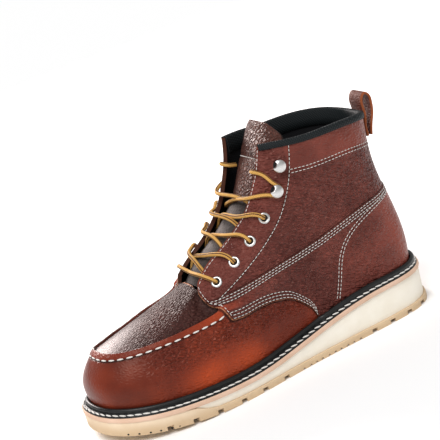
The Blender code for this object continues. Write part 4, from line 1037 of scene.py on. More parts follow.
def paint_panels():
    """Which panel each corner belongs to, 0 to 1."""
    y, s, up_side = skin.outer[:, :, 1], skin.from_seam, skin.from_diagonal
    lapped = past(skin.from_edge, -0.25, 0.5)
    vamp, plug_part = (1 - lapped) * short_of(s, 0.4, 0.6), (1 - lapped) * past(s, 6.1, 0.6)
    counter = past(off_line(skin.outer, COUNTER_SEAM), 0.0, 2.0) * past(y, 58.0, 4.0)
    stay = off_line(skin.outer, EYESTAY_SEAM)
    return {
        "lapped": lapped,
        "vamp": vamp,
        "plug": plug_part,
        "ridge": 1 - lapped - vamp - plug_part,
        "eyestay": lapped * short_of(stay, 0.0, 2.0) * past(up_side, -1.0, 2.0),
        "counter": lapped * counter * short_of(up_side, -5.0, 2.0),
        "collar": lapped * short_of(skin.from_top, COLLAR_BAND + 0.6, 1.2) * past(y, 49.0, 3.0),
        "strip": lapped * short_of(up_side, -6.5, 1.0) * past(skin.from_lap, 8.2, 1.0),
    }


def paint_skin():
    y, z, s = skin.outer[:, :, 1], skin.outer[:, :, 2], skin.from_seam
    lapped, vamp, on_plug, ridge, eyestay, counter, collar, strip = paint_panels().values()
    tight = vamp * np.maximum(short_of(y, -88.0, 30.0), 0.85 * short_of(z, 54.0, 16.0)) + 0.92 * ridge
    tight += on_plug * 0.95 * short_of(y, -98.0, 32.0) + 0.4 * eyestay + 0.8 * collar
    tight += counter * (0.35 + 0.5 * past(y, 96.0, 34.0)) + 0.85 * strip * near(y, -38.0, 16.0)
    warm = vamp * (0.1 * short_of(y, -122.0, 22.0) + 0.12 * short_of(z, 40.0, 12.0))
    warm += vamp * 0.95 * near(y, -67.0, 20.0) * near(z, 30.0, 13.0)
    warm += vamp * 0.75 * near(y, -28.0, 15.0) * near(z, 30.0, 12.0)
    warm += ridge * (0.06 + 0.45 * past(y, -70.0, 34.0)) + counter * (0.05 + 0.2 * past(y, 116.0, 24.0))
    warm += collar * (0.06 + 0.12 * past(y, 70.0, 50.0)) + strip * 0.5 * near(y, -38.0, 18.0)
    warm += lapped * 0.25 * near(skin.from_top, 0.0, 1.2)
    # Painted shade: in the creases at both feet of the rolled moc ridge, on the plug's rear and over the
    # toe's front. The eyestay is made a little darker too.
    deep = (1 - lapped) * (0.75 * near(s, -0.9, 0.8) + 0.85 * near(s, 6.4, 1.0)) * last.front[:, None]
    deep += on_plug * 0.4 * past(y, -84.0, 40.0) + eyestay * 0.12 + vamp * 0.3 * short_of(y, -84.0, 34.0)
    gloss = on_plug * (0.08 + 0.92 * short_of(y, -78.0, 46.0))
    zones = {"tight": tight, "warm": warm, "vamp": vamp + ridge, "plug": on_plug}
    zones |= {"deep": deep, "gloss": gloss}
    zones = {name: np.clip(value, 0.0, 1.0) for name, value in zones.items()}
    on_quarter = skin.from_edge > 0.0
    zones["edge_mm"] = skin.from_edge
    zones["lap_mm"] = np.where(on_quarter & (skin.flap > 1.2), skin.from_lap, FAR_OFF)
    zones["diagonal_mm"] = np.where(on_quarter, skin.from_diagonal, -FAR_OFF)
    zones["stay_mm"] = np.where(on_quarter, off_line(skin.outer, EYESTAY_SEAM), -FAR_OFF)
    return zones


def make_upper():
    inside = skin.inner[:, np.linspace(len(skin.inner[0]) - 1, 0, INSIDE_ROWS).astype(int)]
    rim = (skin.outer[:, -1:] + inside[:, :1]) / 2 + skin.normal[:, -1:] * 0.1
    rim[:, :, 2] += 0.35
    sheet = np.concatenate([skin.outer, rim, inside], axis=1)
    rows = skin.outer.shape[1]
    values = {}
    for name, value in paint_skin().items():
        whole = np.zeros(sheet.shape[:2])
        whole[:, :rows] = value
        values[name] = closed(whole, 0, 1)
    bands = ((0, 0), (rows - 1, 2), (rows + 1, 1))
    bm = laid_grid(closed(sheet, 0, 1), values, bands)
    tree = BVHTree.FromBMesh(bm)
    piece = finish_piece(
        "upper_skin", bm, (boot_leather, lining_cloth, cut_edge), ("upper",), sharp=70.0
    )
    return piece, tree


upper_skin, skin_tree = make_upper()
print("upper:", len(upper_skin.data.polygons), "faces")

# %% [markdown]
# Stitches. White thread on red hide is what one sees first on a work boot. A stitch is a small pill, made
# once from create_uvsphere and repeated along a line on the skin: its length along the line, its back
# along the skin's normal. Lines come from the ribs, at a distance from a seam or an edge, or from the
# side view, by a ray cast straight in on to the skin. The moc seam has two rows, one at the foot of the
# rolled ridge and one on the plug's side of it, which sinks in the crease on the outer side.


# %% Lines on the skin
CAST_FROM = 0.12


def side_ribs(outer):
    """Ribs of one side, from the heel to the toe."""
    if outer:
        return np.flatnonzero(last.places <= TOE_PLACE)
    return np.flatnonzero(last.places > TOE_PLACE)[::-1]


def field_line(ribs, field, value, keep):
    """Where a field has a value on each rib, if keep takes its way behind the flap's edge and its point."""
    made = []
    for i, sought in zip(ribs, np.broadcast_to(value, len(ribs))):
        spot, behind_edge = skin.where(i, field, sought)
        if keep(behind_edge, spot):
            made.append(spot)
    return np.array(made)


def flap_line(outer, inset):
    """A line beside the flap's front edge, from the arch up to the throat."""
    ribs = [i for i in side_ribs(outer)[::-1] if -60.0 < last.foot[i, 1] < -12.0]
    made = []
    for j in range(skin.rows.shape[1]):
        fields = (skin.outer, skin.normal, skin.from_lap, skin.from_top)
        rows = np.column_stack([field[ribs, j] for field in fields])
        *spot, to_lap, to_top = read(inset, skin.flap[ribs, j], rows)
        if to_lap > 1.8 and to_top > 1.6:
            made.append(spot)
    return np.array(made)


def cast(line, outer, sideways=0.0):
    """A line of the side view, moved sideways in that view, cast on to the skin."""
    line = smooth_path(np.array(line), 80)
    line = line + quarter_turn(heading(line)) * sideways
    sign, found = (1.0 if outer else -1.0), []
    for y, z in line * MM:
        start = Vector((sign * CAST_FROM, y, z))
        point, normal, _, _ = skin_tree.ray_cast(start, Vector((-sign, 0.0, 0.0)))
        if point is not None and point.x * sign > 0:
            found.append([*(point / MM), *normal])
    return np.array(found)


# %% Sewing
def seat_matrix(spot, axes):
    """Carries a shape made in millimetres to its spot, with its own axes laid along the given ones."""
    return Matrix.Translation(Vector(spot) * MM) @ Matrix.Scale(MM, 4) @ Matrix(axes).transposed().to_4x4()


def evenly(line, pitch):
    """Points, normals and directions along a line, a pitch apart."""
    run = chords(line[:, :3])
    count = max(int(run[-1] / pitch), 2)
    at = (np.arange(count) + 0.5) * run[-1] / count
    made = read(at, run, line)
    return made[:, :3], made[:, 3:], read(at + 0.6, run, line[:, :3]) - read(at - 0.6, run, line[:, :3])


def stitch_places(line, pitch, length, width, lift=0.15, slant=0.0):
    """One matrix for each stitch: its axis along the line, turned by slant about the skin's normal."""
    made = []
    for point, normal, way in zip(*evenly(line, pitch)):
        high = Vector(normal).normalized()
        along = Vector(way) - high * Vector(way).dot(high)
        along = (Matrix.Rotation(slant, 3, high) @ along).normalized()
        across = high.cross(along)
        axes = (across * width / 2, high * width * 0.4, along * length / 2)
        made.append(seat_matrix(Vector(point) + high * lift, axes))
    return made


def sew(name, places, material=white_thread):
    pill = bmesh.new()
    bmesh.ops.create_uvsphere(pill, u_segments=7, v_segments=6, radius=1.0)
    bmesh.ops.triangulate(pill, faces=pill.faces)
    return place_piece(name, joined(name, pill, places), (material,), sharp=180.0)


# %% Seams of the sides
SEAM_PITCH, SEAM_LENGTH, SEAM_WIDTH, FLAP_IN = 3.3, 2.6, 0.58, 1.7


def behind_flap_row(flap, spot):
    return flap > FLAP_IN


def side_seams(outer):
    seat = dict(pitch=SEAM_PITCH, length=SEAM_LENGTH, width=SEAM_WIDTH)
    ribs = side_ribs(outer)
    over_arch = [i for i in ribs if last.foot[i, 1] < ARCH[-1][0] - 0.5]
    stay = [i for i in ribs if last.foot[i, 1] < RIBS[COLLAR_RIB][0] - 0.5]
    collar = [COLLAR_BAND + d for d in (-1.4, 1.4)]
    lines = [field_line(ribs, skin.from_diagonal, d, behind_flap_row) for d in DIAGONAL_ROWS]
    lines += [field_line(over_arch, skin.from_lap, d, behind_flap_row) for d in ARCH_ROWS]
    lines.append(field_line(stay, skin.from_top, 2.3, lambda flap, spot: flap > 2.2))
    lines += [field_line(ribs, skin.from_top, d, lambda flap, spot: spot[1] > 50.0) for d in collar]
    lines += [cast(COUNTER_SEAM, outer, d) for d in (-1.3, 1.3)]
    lines += [cast(EYESTAY_SEAM, outer), flap_line(outer, FLAP_IN)]
    return [place for line in lines for place in stitch_places(line, **seat)]


seam_places = side_seams(True) + side_seams(False)
sew("seam_stitches", seam_places)
print("seams:", len(seam_places), "stitches")

# %% The moc seam
RIDGE_FOOT, RIDGE_WALL, WALL_LEAN, ROW_SINK, TOE_MIDDLE = -0.1, 5.9, 0.7, 0.25, 12.0
FOOT_STITCH, WALL_STITCH = dict(length=5.6, width=1.45, lift=0.3), dict(length=4.6, width=1.2, lift=0.0)


def to_outer(across):
    """-1 on the inner side, 1 on the outer side, changing over the toe."""
    return np.clip(across / TOE_MIDDLE, -1.0, 1.0)


def moc_row(from_seam):
    return field_line(range(len(last.places)), skin.from_seam, from_seam, lambda flap, spot: flap < -1.0)


plug_row = moc_row(RIDGE_WALL + WALL_LEAN * to_outer(last.seam[:, 0]))
plug_row[:, :3] -= plug_row[:, 3:] * ROW_SINK * (1.0 + to_outer(plug_row[:, :1]))
moc_places = stitch_places(moc_row(RIDGE_FOOT), MOC_PITCH, **FOOT_STITCH)
moc_places += stitch_places(plug_row, MOC_PITCH, **WALL_STITCH)
sew("moc_stitches", moc_places)
print("moc seam:", len(moc_places), "stitches")

# %% [markdown]
# The welt. A rubber strip runs all round on top of the sole: a round bead hugs the upper and keeps water
# out, and a flat ledge takes the lock stitches that hold the sole. It is one profile carried round the
# same ribs, so it fits the upper everywhere. The stitches are thick and lie at a slant, nose to tail like
# a rope.

# %% Welt and its stitches
LEDGE_THICK, LEDGE_EDGE, BEAD_HEIGHT, BEAD_WIDTH, WELT_EDGE_IN = 1.8, 1.1, 6.2, 3.6, 0.3
WELT_STITCH_IN, WELT_PITCH = 1.35, 6.4
WELT_STITCH = dict(length=6.5, width=1.45, lift=0.35, slant=math.radians(-9))


def outward_at(places):
    return edge_at(places, -1.0) - edge_at(places)


def outside_at(i, height):
    """The skin of rib i at a height over its foot."""
    rows = skin.outer[i, :24]
    return read(rows[0, 2] + height, rows[:, 2], rows[:, :2])


def make_welt():
    turns = np.linspace(math.radians(100), math.radians(-30), 9)
    sheet = []
    for i, t in enumerate(last.places):
        out = outward_at([t])[0]
        profile = [(outside_at(i, h) + out * GAP, h) for h in (-GAP / 2, LEDGE_THICK, BEAD_HEIGHT - 0.8)]
        inner, middle = profile[-1][0], BEAD_WIDTH * 0.5
        for a in turns:
            rise_to = BEAD_HEIGHT - 2.0 + 2.0 * math.sin(a)
            profile.append((inner + out * (middle - 0.2 + (middle + 0.2) * math.cos(a)), rise_to))
        profile.append((inner + out * (BEAD_WIDTH + 0.1), LEDGE_THICK + 0.2))
        edge = edge_at([t], WELT_EDGE_IN)[0]
        channel = edge - out * WELT_STITCH_IN
        profile += [(channel - out * 1.1, LEDGE_THICK), (channel, LEDGE_THICK - 0.5)]
        profile += [(channel + out * 0.9, LEDGE_EDGE + 0.3), (edge, LEDGE_EDGE - 0.2), (edge, -GAP / 2)]
        sheet.append([(*at, float(sole_top_z(at[1])) + GAP + h) for at, h in profile])
    bm = laid_grid(closed(np.array(sheet), 0, 1))
    return finish_piece("welt_strip", bm, (welt_rubber,), ("welt",))


def welt_line():
    at = edge_at(last.places, WELT_EDGE_IN + WELT_STITCH_IN - 0.2)
    height = sole_top_z(at[:, 1]) + GAP + LEDGE_THICK - 0.3
    return np.column_stack([at, height, outward_at(last.places) * 0.35, np.full(len(at), 0.94)])


make_welt()
welt_places = stitch_places(closed(welt_line(), 0), WELT_PITCH, **WELT_STITCH)
sew("welt_stitches", welt_places)
print("welt:", len(welt_places), "stitches")

# %% [markdown]
# The sole. Its layers already have their true form as solids, so welded copies serve, with their hard
# edges rounded by a bevel, as moulded rubber has no knife edge. The solids keep a hair's gap to each
# other. Cement closes it on the boot, so each copy is swollen by half of it. A row of small black pills
# along the toe's low edge is painted shade for the slots there.

# %% Sole layers and insole
SLOTS = (-138.6, -131.9, -124.7, -117.7, -109.7, -103.5)


def swell(bm, by):
    """Moves each corner out along its normal, but not into the floor."""
    bm.normal_update()
    moved = [(vert, vert.co + vert.normal * by * MM * vert.calc_shell_factor()) for vert in bm.verts]
    for vert, place in moved:
        vert.co = place
        vert.co.z = max(place.z, 0.0)


for node, material, rounded in (
    ("outsole", tread_rubber, 0.5),
    ("wedge", wedge_foam, 0.3),
    ("midsole", midsole_tan, 0.3),
    ("insole", lining_cloth, 0.8),
):
    solid = copy_of(node)
    swell(solid, GAP / 2 + 0.03)
    round_edges(solid, rounded)
    layer = finish_piece(f"{node}_layer", solid, (material,), (node,), sharp=38.0)
    print(layer.name, len(layer.data.polygons), "faces")

# Black pills of painted shade stand for the slots in the toe's low edge.
slot_places = []
for along in SLOTS:
    place = place_of(along, True)
    x, y = edge_at([place], 0.1)[0]
    out = Vector((*outward_at([place])[0], 0.0))
    axes = (out * 0.4, out.cross((0, 0, 1)) * 1.1, Vector((0, 0, 0.8)))
    slot_places.append(seat_matrix((x, y, float(tread_z(y)) + 1.2), axes))
sew("toe_slot_shades", slot_places, hole_shade)

# %% [markdown]
# The collar's tape. A woven tape is folded over the raw top edge and runs from one eyestay round the back
# to the other. Its profile goes up the outside, over the top and down the inside, on the same ribs.

# %% Collar tape
TAPE_THICK, TAPE_LIFT, TAPE_OUTSIDE, TAPE_INSIDE = 1.2, 0.15, 3.8, 13.0


def below_top(i, drop, inside):
    rows = (skin.inner if inside else skin.outer)[i][::-1]
    run = chords(rows)
    return read(drop, run, rows), unit(read(drop, run, skin.normal[i][::-1]))


def tape_profile(i):
    up_z = np.array((0.0, 0.0, 1.0))
    thick, low, deep = TAPE_THICK, TAPE_OUTSIDE, TAPE_INSIDE
    outside = ((low, TAPE_LIFT), (low - 0.3, thick * 0.8), (low * 0.5, thick), (0.4, thick))
    inside = ((0.4, thick), (deep * 0.5, thick * 1.3), (deep - 0.5, thick), (deep, TAPE_LIFT))
    sides = []
    for rows, within in ((outside, False), (inside, True)):
        spots = [(*below_top(i, drop, within), bulge) for drop, bulge in rows]
        sides.append([point + normal * (-bulge if within else bulge) for point, normal, bulge in spots])
    out_top, n_out = below_top(i, 0.0, False)
    in_top, n_in = below_top(i, 0.0, True)
    crown = [out_top + n_out * thick * 0.6 + up_z * 0.9, (out_top + in_top) / 2 + up_z * 1.5]
    crown.append(in_top - n_in * thick * 0.6 + up_z * 0.9)
    under = [in_top + (up_z - n_in) * TAPE_LIFT, out_top + (up_z + n_out) * TAPE_LIFT]
    return np.array(sides[0] + crown + sides[1] + under)


def make_tape():
    ribs = np.concatenate([side_ribs(False)[::-1], side_ribs(True)])
    ribs = ribs[last.foot[ribs, 1] >= RIBS[COLLAR_RIB][0] - 0.5]
    bm = laid_grid(closed(np.array([tape_profile(i) for i in ribs]), 1), capped=True)
    return finish_piece("collar_tape", bm, (binding_tape,), ("collar_binding",), sharp=75.0)


make_tape()

# %% [markdown]
# The tongue. Padded leather, bent across the foot, with two cross seams where its upper block is quilted.
# It is a sheet that closes on itself: the face, round one edge, the back and round the other edge. Above
# the lower seam the hide is pebbled, below it lies a calm dark panel, and its rim is stained black.

# %% Tongue
TONGUE = (
    # along, up, half_width, lean, bend on the outer side, bend on the inner side
    (-42.2, 89.0, 17.0, 0.0, 40.0, 40.0), (-33.0, 98.6, 21.0, 0.0, 37.0, 37.0),
    (-8.0, 115.0, 27.0, 0.0, 37.0, 37.0), (6.0, 125.5, 29.0, 0.0, 38.0, 41.0),
    (19.0, 137.8, 30.0, 0.0, 40.0, 48.0), (28.5, 152.0, 30.0, 0.0, 42.0, 57.0),
    (38.0, 166.5, 29.5, -0.5, 44.0, 66.0), (46.0, 178.0, 28.5, -1.5, 46.0, 72.0),
    (51.0, 185.0, 25.5, -3.0, 46.0, 72.0), (54.0, 189.5, 17.0, -5.0, 46.0, 72.0),
)
TONGUE_THICK, TONGUE_ROWS, TONGUE_ACROSS = 4.5, 110, 33
TONGUE_SEAMS, TONGUE_STITCH = (137.0, 165.0), dict(pitch=3.0, length=2.3, width=0.75)


def tongue_line(count):
    rows = np.array(TONGUE)
    knots = chords(rows[:, :2])
    return cubic(knots, rows, np.linspace(0.0, knots[-1], count))


def tongue_drop(across, row):
    """How far the tongue's face falls away beside its middle line."""
    bend = np.where(np.asarray(across) > 0, row[4], row[5])
    return bend - np.sqrt(bend * bend - np.square(across))


def tongue_sheet():
    made = tongue_line(TONGUE_ROWS)
    out = np.insert(quarter_turn(heading(made[:, :2])), 0, 0.0, axis=1)
    turns = np.linspace(0.0, 2 * math.pi, 2 * TONGUE_ACROSS, endpoint=False)
    share, high = np.cos(turns), np.sin(turns)
    share = np.sign(share) * np.abs(share) ** 0.55
    sheet = []
    for n, row in enumerate(made):
        to_tip = min(1.0, (TONGUE_ROWS - 1 - n) / (TONGUE_ROWS * 0.05))
        thick = TONGUE_THICK * math.sqrt(min(1.0, 0.06 + to_tip))
        pinch = sum(0.9 * math.exp(-(((row[1] - seam) / 1.5) ** 2)) for seam in TONGUE_SEAMS)
        x = row[2] * share * math.sqrt(1.0 - 0.4 * (1.0 - to_tip) ** 2)
        depth = thick / 2 * (np.sign(high) * np.abs(high) ** 0.6 - 1.0) - pinch * (high > 0)
        points = np.array((row[3], row[0], row[1])) + out[n] * (depth - tongue_drop(x, row))[:, None]
        points[:, 0] += x
        sheet.append(points)
    return np.array(sheet), out, made


def make_tongue():
    sheet, out, made = tongue_sheet()
    ring = closed(sheet, 1)
    calm = np.repeat(ease((TONGUE_SEAMS[0] + 0.5 - made[:, 1]) / 1.0)[:, None], ring.shape[1], axis=1)
    rim = ((0, 1), (2, 0), (TONGUE_ACROSS - 2, 1), (TONGUE_ACROSS + 4, 0), (2 * TONGUE_ACROSS - 4, 1))
    bm = laid_grid(ring, {"calm": calm}, rim, capped=True)
    finish_piece("tongue_pad", bm, (tongue_leather, dark_rim), ("tongue",), sharp=80.0)
    places = []
    for seam in TONGUE_SEAMS:
        n = int(np.abs(made[:, 1] - seam).argmin())
        line = sheet[n][2 : TONGUE_ACROSS - 2]
        line = np.column_stack([line, np.tile(out[n], (len(line), 1))])
        places += stitch_places(line, **TONGUE_STITCH)
    sew("tongue_stitches", places)
    return len(places)


print("tongue:", make_tongue(), "stitches")

# %% [markdown]
# The pull loop. A leather strap, doubled over behind the heel for a finger to pull on. It is swept along
# its path with rounded edges, and the edges keep the lighter colour of cut hide.

# %% Pull loop
LOOP_PATH = (
    # along, up
    (139.8, 144.5), (140.2, 155.0), (142.0, 163.0), (141.6, 170.0), (142.9, 176.4), (146.0, 179.0),
    (149.2, 176.4), (150.0, 170.0), (149.0, 162.5), (145.6, 153.5), (143.0, 144.5),
)
LOOP_WIDTH, LOOP_THICK = 20.0, 2.0
LOOP_PROFILE = (
    # share of the half width, share of the half thickness
    (1.0, 0.25), (0.97, 0.85), (0.9, 1.0), (-0.9, 1.0), (-0.97, 0.85), (-1.0, 0.25),
    (-1.0, -0.25), (-0.97, -0.85), (-0.9, -1.0), (0.9, -1.0), (0.97, -0.85), (1.0, -0.25),
)


def make_loop():
    path = smooth_path(np.array(LOOP_PATH), 90)
    across = quarter_turn(heading(path))
    half = LOOP_WIDTH / 2 * (1.0 - 0.08 * (1 - np.sin(np.linspace(0.0, math.pi, len(path)))))
    sheet = []
    for point, off, wide in zip(path, across, half):
        sheet.append([(x * wide, *(point + off * h * LOOP_THICK / 2)) for x, h in LOOP_PROFILE])
    bands = ((0, 1), (2, 0), (3, 1), (8, 0), (9, 1))
    bm = laid_grid(closed(np.array(sheet), 1), bands=bands, capped=True)
    finish_piece("pull_strap", bm, (strap_leather, strap_edge), ("pull_loop",), sharp=60.0)


make_loop()

# %% [markdown]
# Eyelets and hooks. The solids say where each one sits, and the skin under it which way it faces. An
# eyelet is a rolled ring, spun from a small profile, with a black disc of painted shade in its hole. A hook
# is a domed cap on a short neck, and its foot is black as painted shade under the cap. Towards the throat
# a round bite is pressed out of the cap, where the lace slips in.

# %% Eyelets
EYELET_RING = ((2.5, 0.05), (2.6, 0.7), (3.1, 1.1), (3.8, 1.05), (4.35, 0.65), (4.6, 0.05))
RING_STEPS, HOLE_RADIUS, HOLE_UP = 32, 2.7, 0.12


def edge_curve(outer):
    return smooth_path(np.array(EYESTAY_EDGE) * (1.0 if outer else -1.0, 1.0, 1.0), 200)


def seat_of(node):
    """Where a round piece sits on the skin: its foot, its outward axis and the way to the throat."""
    corners = np.array([vert.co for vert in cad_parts[node].data.vertices]).round(6)
    foot, normal, _, _ = skin_tree.find_nearest(Vector(np.unique(corners, axis=0).mean(axis=0)))
    foot, axis = np.array(foot) / MM, np.array(normal)
    edge = edge_curve("outer" in node)
    throat = edge[np.linalg.norm(edge - foot, axis=1).argmin()] - foot
    return foot, axis, unit(throat - axis * throat.dot(axis))


def spun(bm, profile, material=0):
    """Turns a profile once round Z and adds it to a bmesh."""
    verts = [bm.verts.new((radius, 0.0, height)) for radius, height in profile]
    edges = [bm.edges.new(pair) for pair in zip(verts, verts[1:])]
    before = set(bm.faces)
    turn = dict(cent=(0, 0, 0), axis=(0, 0, 1), angle=2 * math.pi, steps=RING_STEPS, use_merge=True)
    bmesh.ops.spin(bm, geom=verts + edges, **turn)
    made = [face for face in bm.faces if face not in before]
    for face in made:
        face.material_index = material
    return list({vert for face in made for vert in face.verts})


def finish_metal(name, bm, node):
    """Sets a piece made with +Z outward and +X towards the throat on its seat."""
    bmesh.ops.remove_doubles(bm, verts=bm.verts, dist=0.0001)
    bmesh.ops.recalc_face_normals(bm, faces=bm.faces)
    foot, axis, throat = seat_of(node)
    bm.transform(seat_matrix(foot, (throat, np.cross(axis, throat), axis)))
    finish_piece(name, bm, (nickel, hole_shade), (node,), sharp=60.0)


def make_eyelet(side, n):
    bm = bmesh.new()
    spun(bm, EYELET_RING)
    # A black disc of painted shade fills the hole.
    hole = bmesh.ops.create_circle(bm, cap_ends=True, segments=RING_STEPS, radius=HOLE_RADIUS)["verts"]
    bmesh.ops.translate(bm, verts=hole, vec=(0, 0, HOLE_UP))
    for face in {face for vert in hole for face in vert.link_faces}:
        face.material_index = 1
    finish_metal(f"eyelet_ring_{side}_{n}", bm, f"eyelet_{side}_{n}")


for side in ("outer", "inner"):
    for n in range(1, 5):
        make_eyelet(side, n)

# %% Hooks
HOOK_FOOT = ((0.0, 0.6), (3.6, 0.6), (4.2, 0.05))
HOOK_NECK = ((1.9, 0.5), (1.8, 2.6), (2.1, 5.0))
HOOK_CAP = (
    # radius, height
    (0.0, 7.0), (1.0, 6.97), (1.9, 6.85), (2.7, 6.65), (3.4, 6.4), (4.0, 6.1), (4.6, 5.7), (5.1, 5.1),
    (4.9, 4.7), (2.0, 4.9),
)
BITE_AT, BITE_RADIUS = Vector((5.7, -1.2, 0.0)), 3.3


def make_hook(side, n):
    bm = bmesh.new()
    # The foot is painted black as the shade under the cap.
    spun(bm, HOOK_FOOT, 1)
    spun(bm, HOOK_NECK)
    for vert in spun(bm, HOOK_CAP):
        off = (vert.co - BITE_AT) * Vector((1, 1, 0))
        if off.length < BITE_RADIUS:
            vert.co += off.normalized() * (BITE_RADIUS - off.length)
    finish_metal(f"hook_cap_{side}_{n}", bm, f"hook_{side}_{n}")


for side in ("outer", "inner"):
    for n in (1, 2):
        make_hook(side, n)
print("metal: 8 eyelets, 4 hooks")

# %% [markdown]
# The lace. One round cord starts as a bar across the lowest eyelets. From each eyelet it runs under the
# eyestay, comes out at the throat's edge, crosses the tongue and goes down into the next eyelet of the
# other side. At the top each half turns round its lower hook and is tucked in over the edge. The route is
# a list of places, and one smooth curve runs through them. The half that leaves the outer side passes
# over at each crossing.

# %% Route of the lace
LACE_RADIUS = 1.7
LIFT_OVER, LIFT_UNDER = 4.4, 0.6
MEETS_OUTER, MEETS_INNER, MEETS_HOOK = -5.5, -9.5, -9.5
LEAVES_OUTER, LEAVES_INNER = (4.3, 4.3, 4.3, 4.3), (11.0, 7.0, 6.0, 0.5)
TUCK_UP = 19.0
SEATS = {}
for side in ("outer", "inner"):
    for n in range(1, 6):
        SEATS[side == "outer", n] = seat_of(f"eyelet_{side}_{n}" if n < 5 else f"hook_{side}_1")
TONGUE_LINE = tongue_line(300)


def edge_by(outer, n, up_edge=0.0):
    """The eyestay edge's point nearest to a seat, moved up the edge."""
    edge = edge_curve(outer)
    run = chords(edge)
    nearest = np.linalg.norm(edge - SEATS[outer, n][0], axis=1).argmin()
    return edge[np.abs(run - (run[nearest] - up_edge)).argmin()]


def over_tongue(across, beside, lift):
    """A point over the tongue's face, level with a point beside it."""
    i = np.linalg.norm(TONGUE_LINE[:, :2] - beside[1:], axis=1).argmin().clip(1, len(TONGUE_LINE) - 2)
    way = unit(TONGUE_LINE[i + 1, :2] - TONGUE_LINE[i - 1, :2])
    drop = float(tongue_drop(across, TONGUE_LINE[i]))
    return np.array((across, *TONGUE_LINE[i, :2])) + np.array((0.0, *quarter_turn(way))) * (lift - drop)


def over_edge(outer, n, up_edge, clear=1.0):
    return edge_by(outer, n, up_edge) + SEATS[outer, n][1] * (LACE_RADIUS + SHAFT_STEP + clear)


def down_the_eyelet(outer, n):
    foot, axis, throat = SEATS[outer, n]
    return [
        foot + throat * 4.4 + axis * (LACE_RADIUS + 1.5),
        foot + throat * 1.7 + axis * (LACE_RADIUS + 0.3),
        foot + throat * 0.7 - axis * 2.6,
        foot + throat * 3.5 - axis * (WALL_THICK + LACE_RADIUS + 1.6),
    ]


def meets_edge(outer, n):
    """How far up the edge from a seat the lace comes to it."""
    return MEETS_HOOK if n == 5 else MEETS_OUTER if outer else MEETS_INNER


def reach_over(outer, n):
    """Up to the edge and over it. The far side is met low and crossed a little higher."""
    if outer:
        return [over_edge(outer, n, meets_edge(outer, n), 0.4)]
    _, axis, throat = SEATS[outer, n]
    start = edge_by(outer, n, meets_edge(outer, n)) + throat * 2.2 + axis * (LACE_RADIUS + 0.6)
    return [start, over_edge(outer, n, meets_edge(outer, n) + 2.0, 0.3)]


def across_tongue(outer, n):
    """Out at the throat's edge, and the place where the halves cross."""
    low = edge_by(outer, n, (LEAVES_OUTER if outer else LEAVES_INNER)[n - 1])
    high = edge_by(not outer, n + 1, meets_edge(not outer, n + 1))
    start = over_tongue((1.0 if outer else -1.0) * (abs(low[0]) - 4.0), low, LACE_RADIUS + 0.4)
    return [start, over_tongue(0.0, (low + high) / 2, LACE_RADIUS + (LIFT_OVER if outer else LIFT_UNDER))]


def round_hook(outer):
    foot, axis, throat = SEATS[outer, 5]
    high = np.cross(axis, throat)
    high *= 1.0 if high[2] > 0 else -1.0
    neck, reach = foot + axis * (LACE_RADIUS + 1.1), 2.1 + LACE_RADIUS + 0.2
    edge = edge_by(outer, 5, TUCK_UP - 9.0)
    points = [
        neck + throat * 3.0 - high * reach,
        neck - throat * reach * 0.7 - high * reach * 0.7,
        neck - throat * reach,
        neck - throat * reach * 0.7 + high * reach * 0.7,
        neck + throat * 2.6 + high * (reach + 1.0),
        edge - throat * 3.4 + axis * (LACE_RADIUS + SHAFT_STEP + 1.0),
        edge + throat * (LACE_RADIUS + 0.7) + axis * 0.8,
    ]
    inside = edge + throat * 1.5 - axis * (WALL_THICK + LACE_RADIUS + 1.2)
    points.append(inside)
    if not outer:
        points.append(inside + (0.6, 7.0, -2.5))
    return points


def half_lace(outer):
    """From the bar's middle to the hidden end of one half."""
    points, here = [], outer
    for n in range(1, 5):
        points += [over_edge(here, n, 0.0, 0.6)] if n == 1 else reach_over(here, n)
        points += down_the_eyelet(here, n) + across_tongue(here, n)
        here = not here
    return points + reach_over(here, 5) + round_hook(here)


# %% The lace as a tube
def tube(name, path, radius, around, material):
    """A round cord on a path, with a map of millimetres along and turns around."""
    way = heading(path)
    flat = np.cross(way[0], (0.0, 0.6, -0.8))
    turns = np.linspace(0.0, 2 * math.pi, around + 1)
    run, rings = chords(path), []
    for point, forward in zip(path, way):
        flat = unit(flat - forward * flat.dot(forward))
        high = np.cross(forward, flat)
        rings.append(point + radius * (np.cos(turns)[:, None] * flat + np.sin(turns)[:, None] * high))
    chart = np.stack(np.meshgrid(run, turns / (2 * math.pi), indexing="ij"), axis=2)
    bm = laid_grid(np.array(rings), measure=chart, capped=True)
    return finish_piece(name, bm, (material,), sharp=70.0)


bar = over_tongue(0.0, edge_by(True, 1), LACE_RADIUS + 2.5)
lace_route = np.array(half_lace(True)[::-1] + [bar] + half_lace(False))
lace_path = smooth_path(lace_route, 900)
lace = tube("lace", lace_path, LACE_RADIUS, 12, lace_braid)
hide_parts("lace_bar", *(f"lace_cross_{n}" for n in range(1, 5)), "lace_end_outer", "lace_end_inner")

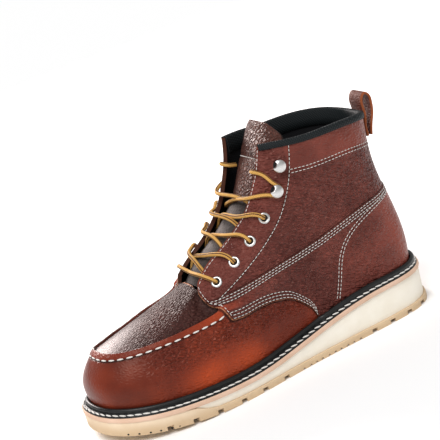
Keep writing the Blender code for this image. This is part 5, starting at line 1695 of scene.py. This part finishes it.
# %% [markdown]
# The studio. A pale floor with no seam, a dim white room, and soft light from above that is wide enough
# to leave the floor even. A low lamp on the far side lays a sheen on the toe, where the plug lies almost
# flat. It stands where the plug's front mirrors it to the camera.

# %% Floor and lights
SKY_FROM, SKY_POWER, SKY_SPREAD, ROOM_LIGHT = (0.62, -0.6, 1.3), 2.5, math.radians(40), 0.4
SHEEN_FROM, SHEEN_AIM, SHEEN_SIZE = (-1.12, -0.09, 0.58), (0.0, -0.12, 0.07), (0.6, 0.35)
SHEEN_POWER, SHEEN_COLOUR = 14.0, (1.0, 0.9, 0.87)
FLOOR_HALF, FLOOR_GREY = 12.0, 0.96

floor_grid = bmesh.new()
bmesh.ops.create_grid(floor_grid, x_segments=1, y_segments=1, size=FLOOR_HALF)
floor_mesh = bpy.data.meshes.new("floor")
floor_grid.to_mesh(floor_mesh)
floor_grid.free()
floor_paint, *_ = new_material("floor_paint", (FLOOR_GREY,) * 3, 0.9)
floor_mesh.materials.append(floor_paint)
floor = bpy.data.objects.new("floor", floor_mesh)
bpy.context.scene.collection.objects.link(floor)


def place_lamp(light, place, aim):
    lamp = bpy.data.objects.new(light.name, light)
    lamp.location = place
    lamp.rotation_mode = "QUATERNION"
    lamp.rotation_quaternion = (Vector(aim) - Vector(place)).to_track_quat("-Z", "Y")
    bpy.context.scene.collection.objects.link(lamp)


sky = bpy.data.lights.new("sky_light", "SUN")
sky.energy, sky.angle = SKY_POWER, SKY_SPREAD
place_lamp(sky, SKY_FROM, (0.0, 0.0, 0.0))
sheen = bpy.data.lights.new("far_light", "AREA")
sheen.shape, sheen.size, sheen.size_y = "RECTANGLE", *SHEEN_SIZE
sheen.energy, sheen.color = SHEEN_POWER, SHEEN_COLOUR
place_lamp(sheen, SHEEN_FROM, SHEEN_AIM)

room = bpy.data.worlds.new("room")
room.use_nodes = True
feed(room.node_tree, room.node_tree.nodes["Background"], Color=(1.0, 1.0, 1.0), Strength=ROOM_LIGHT)
bpy.context.scene.world = room
bpy.context.scene.view_settings.view_transform = "Standard"
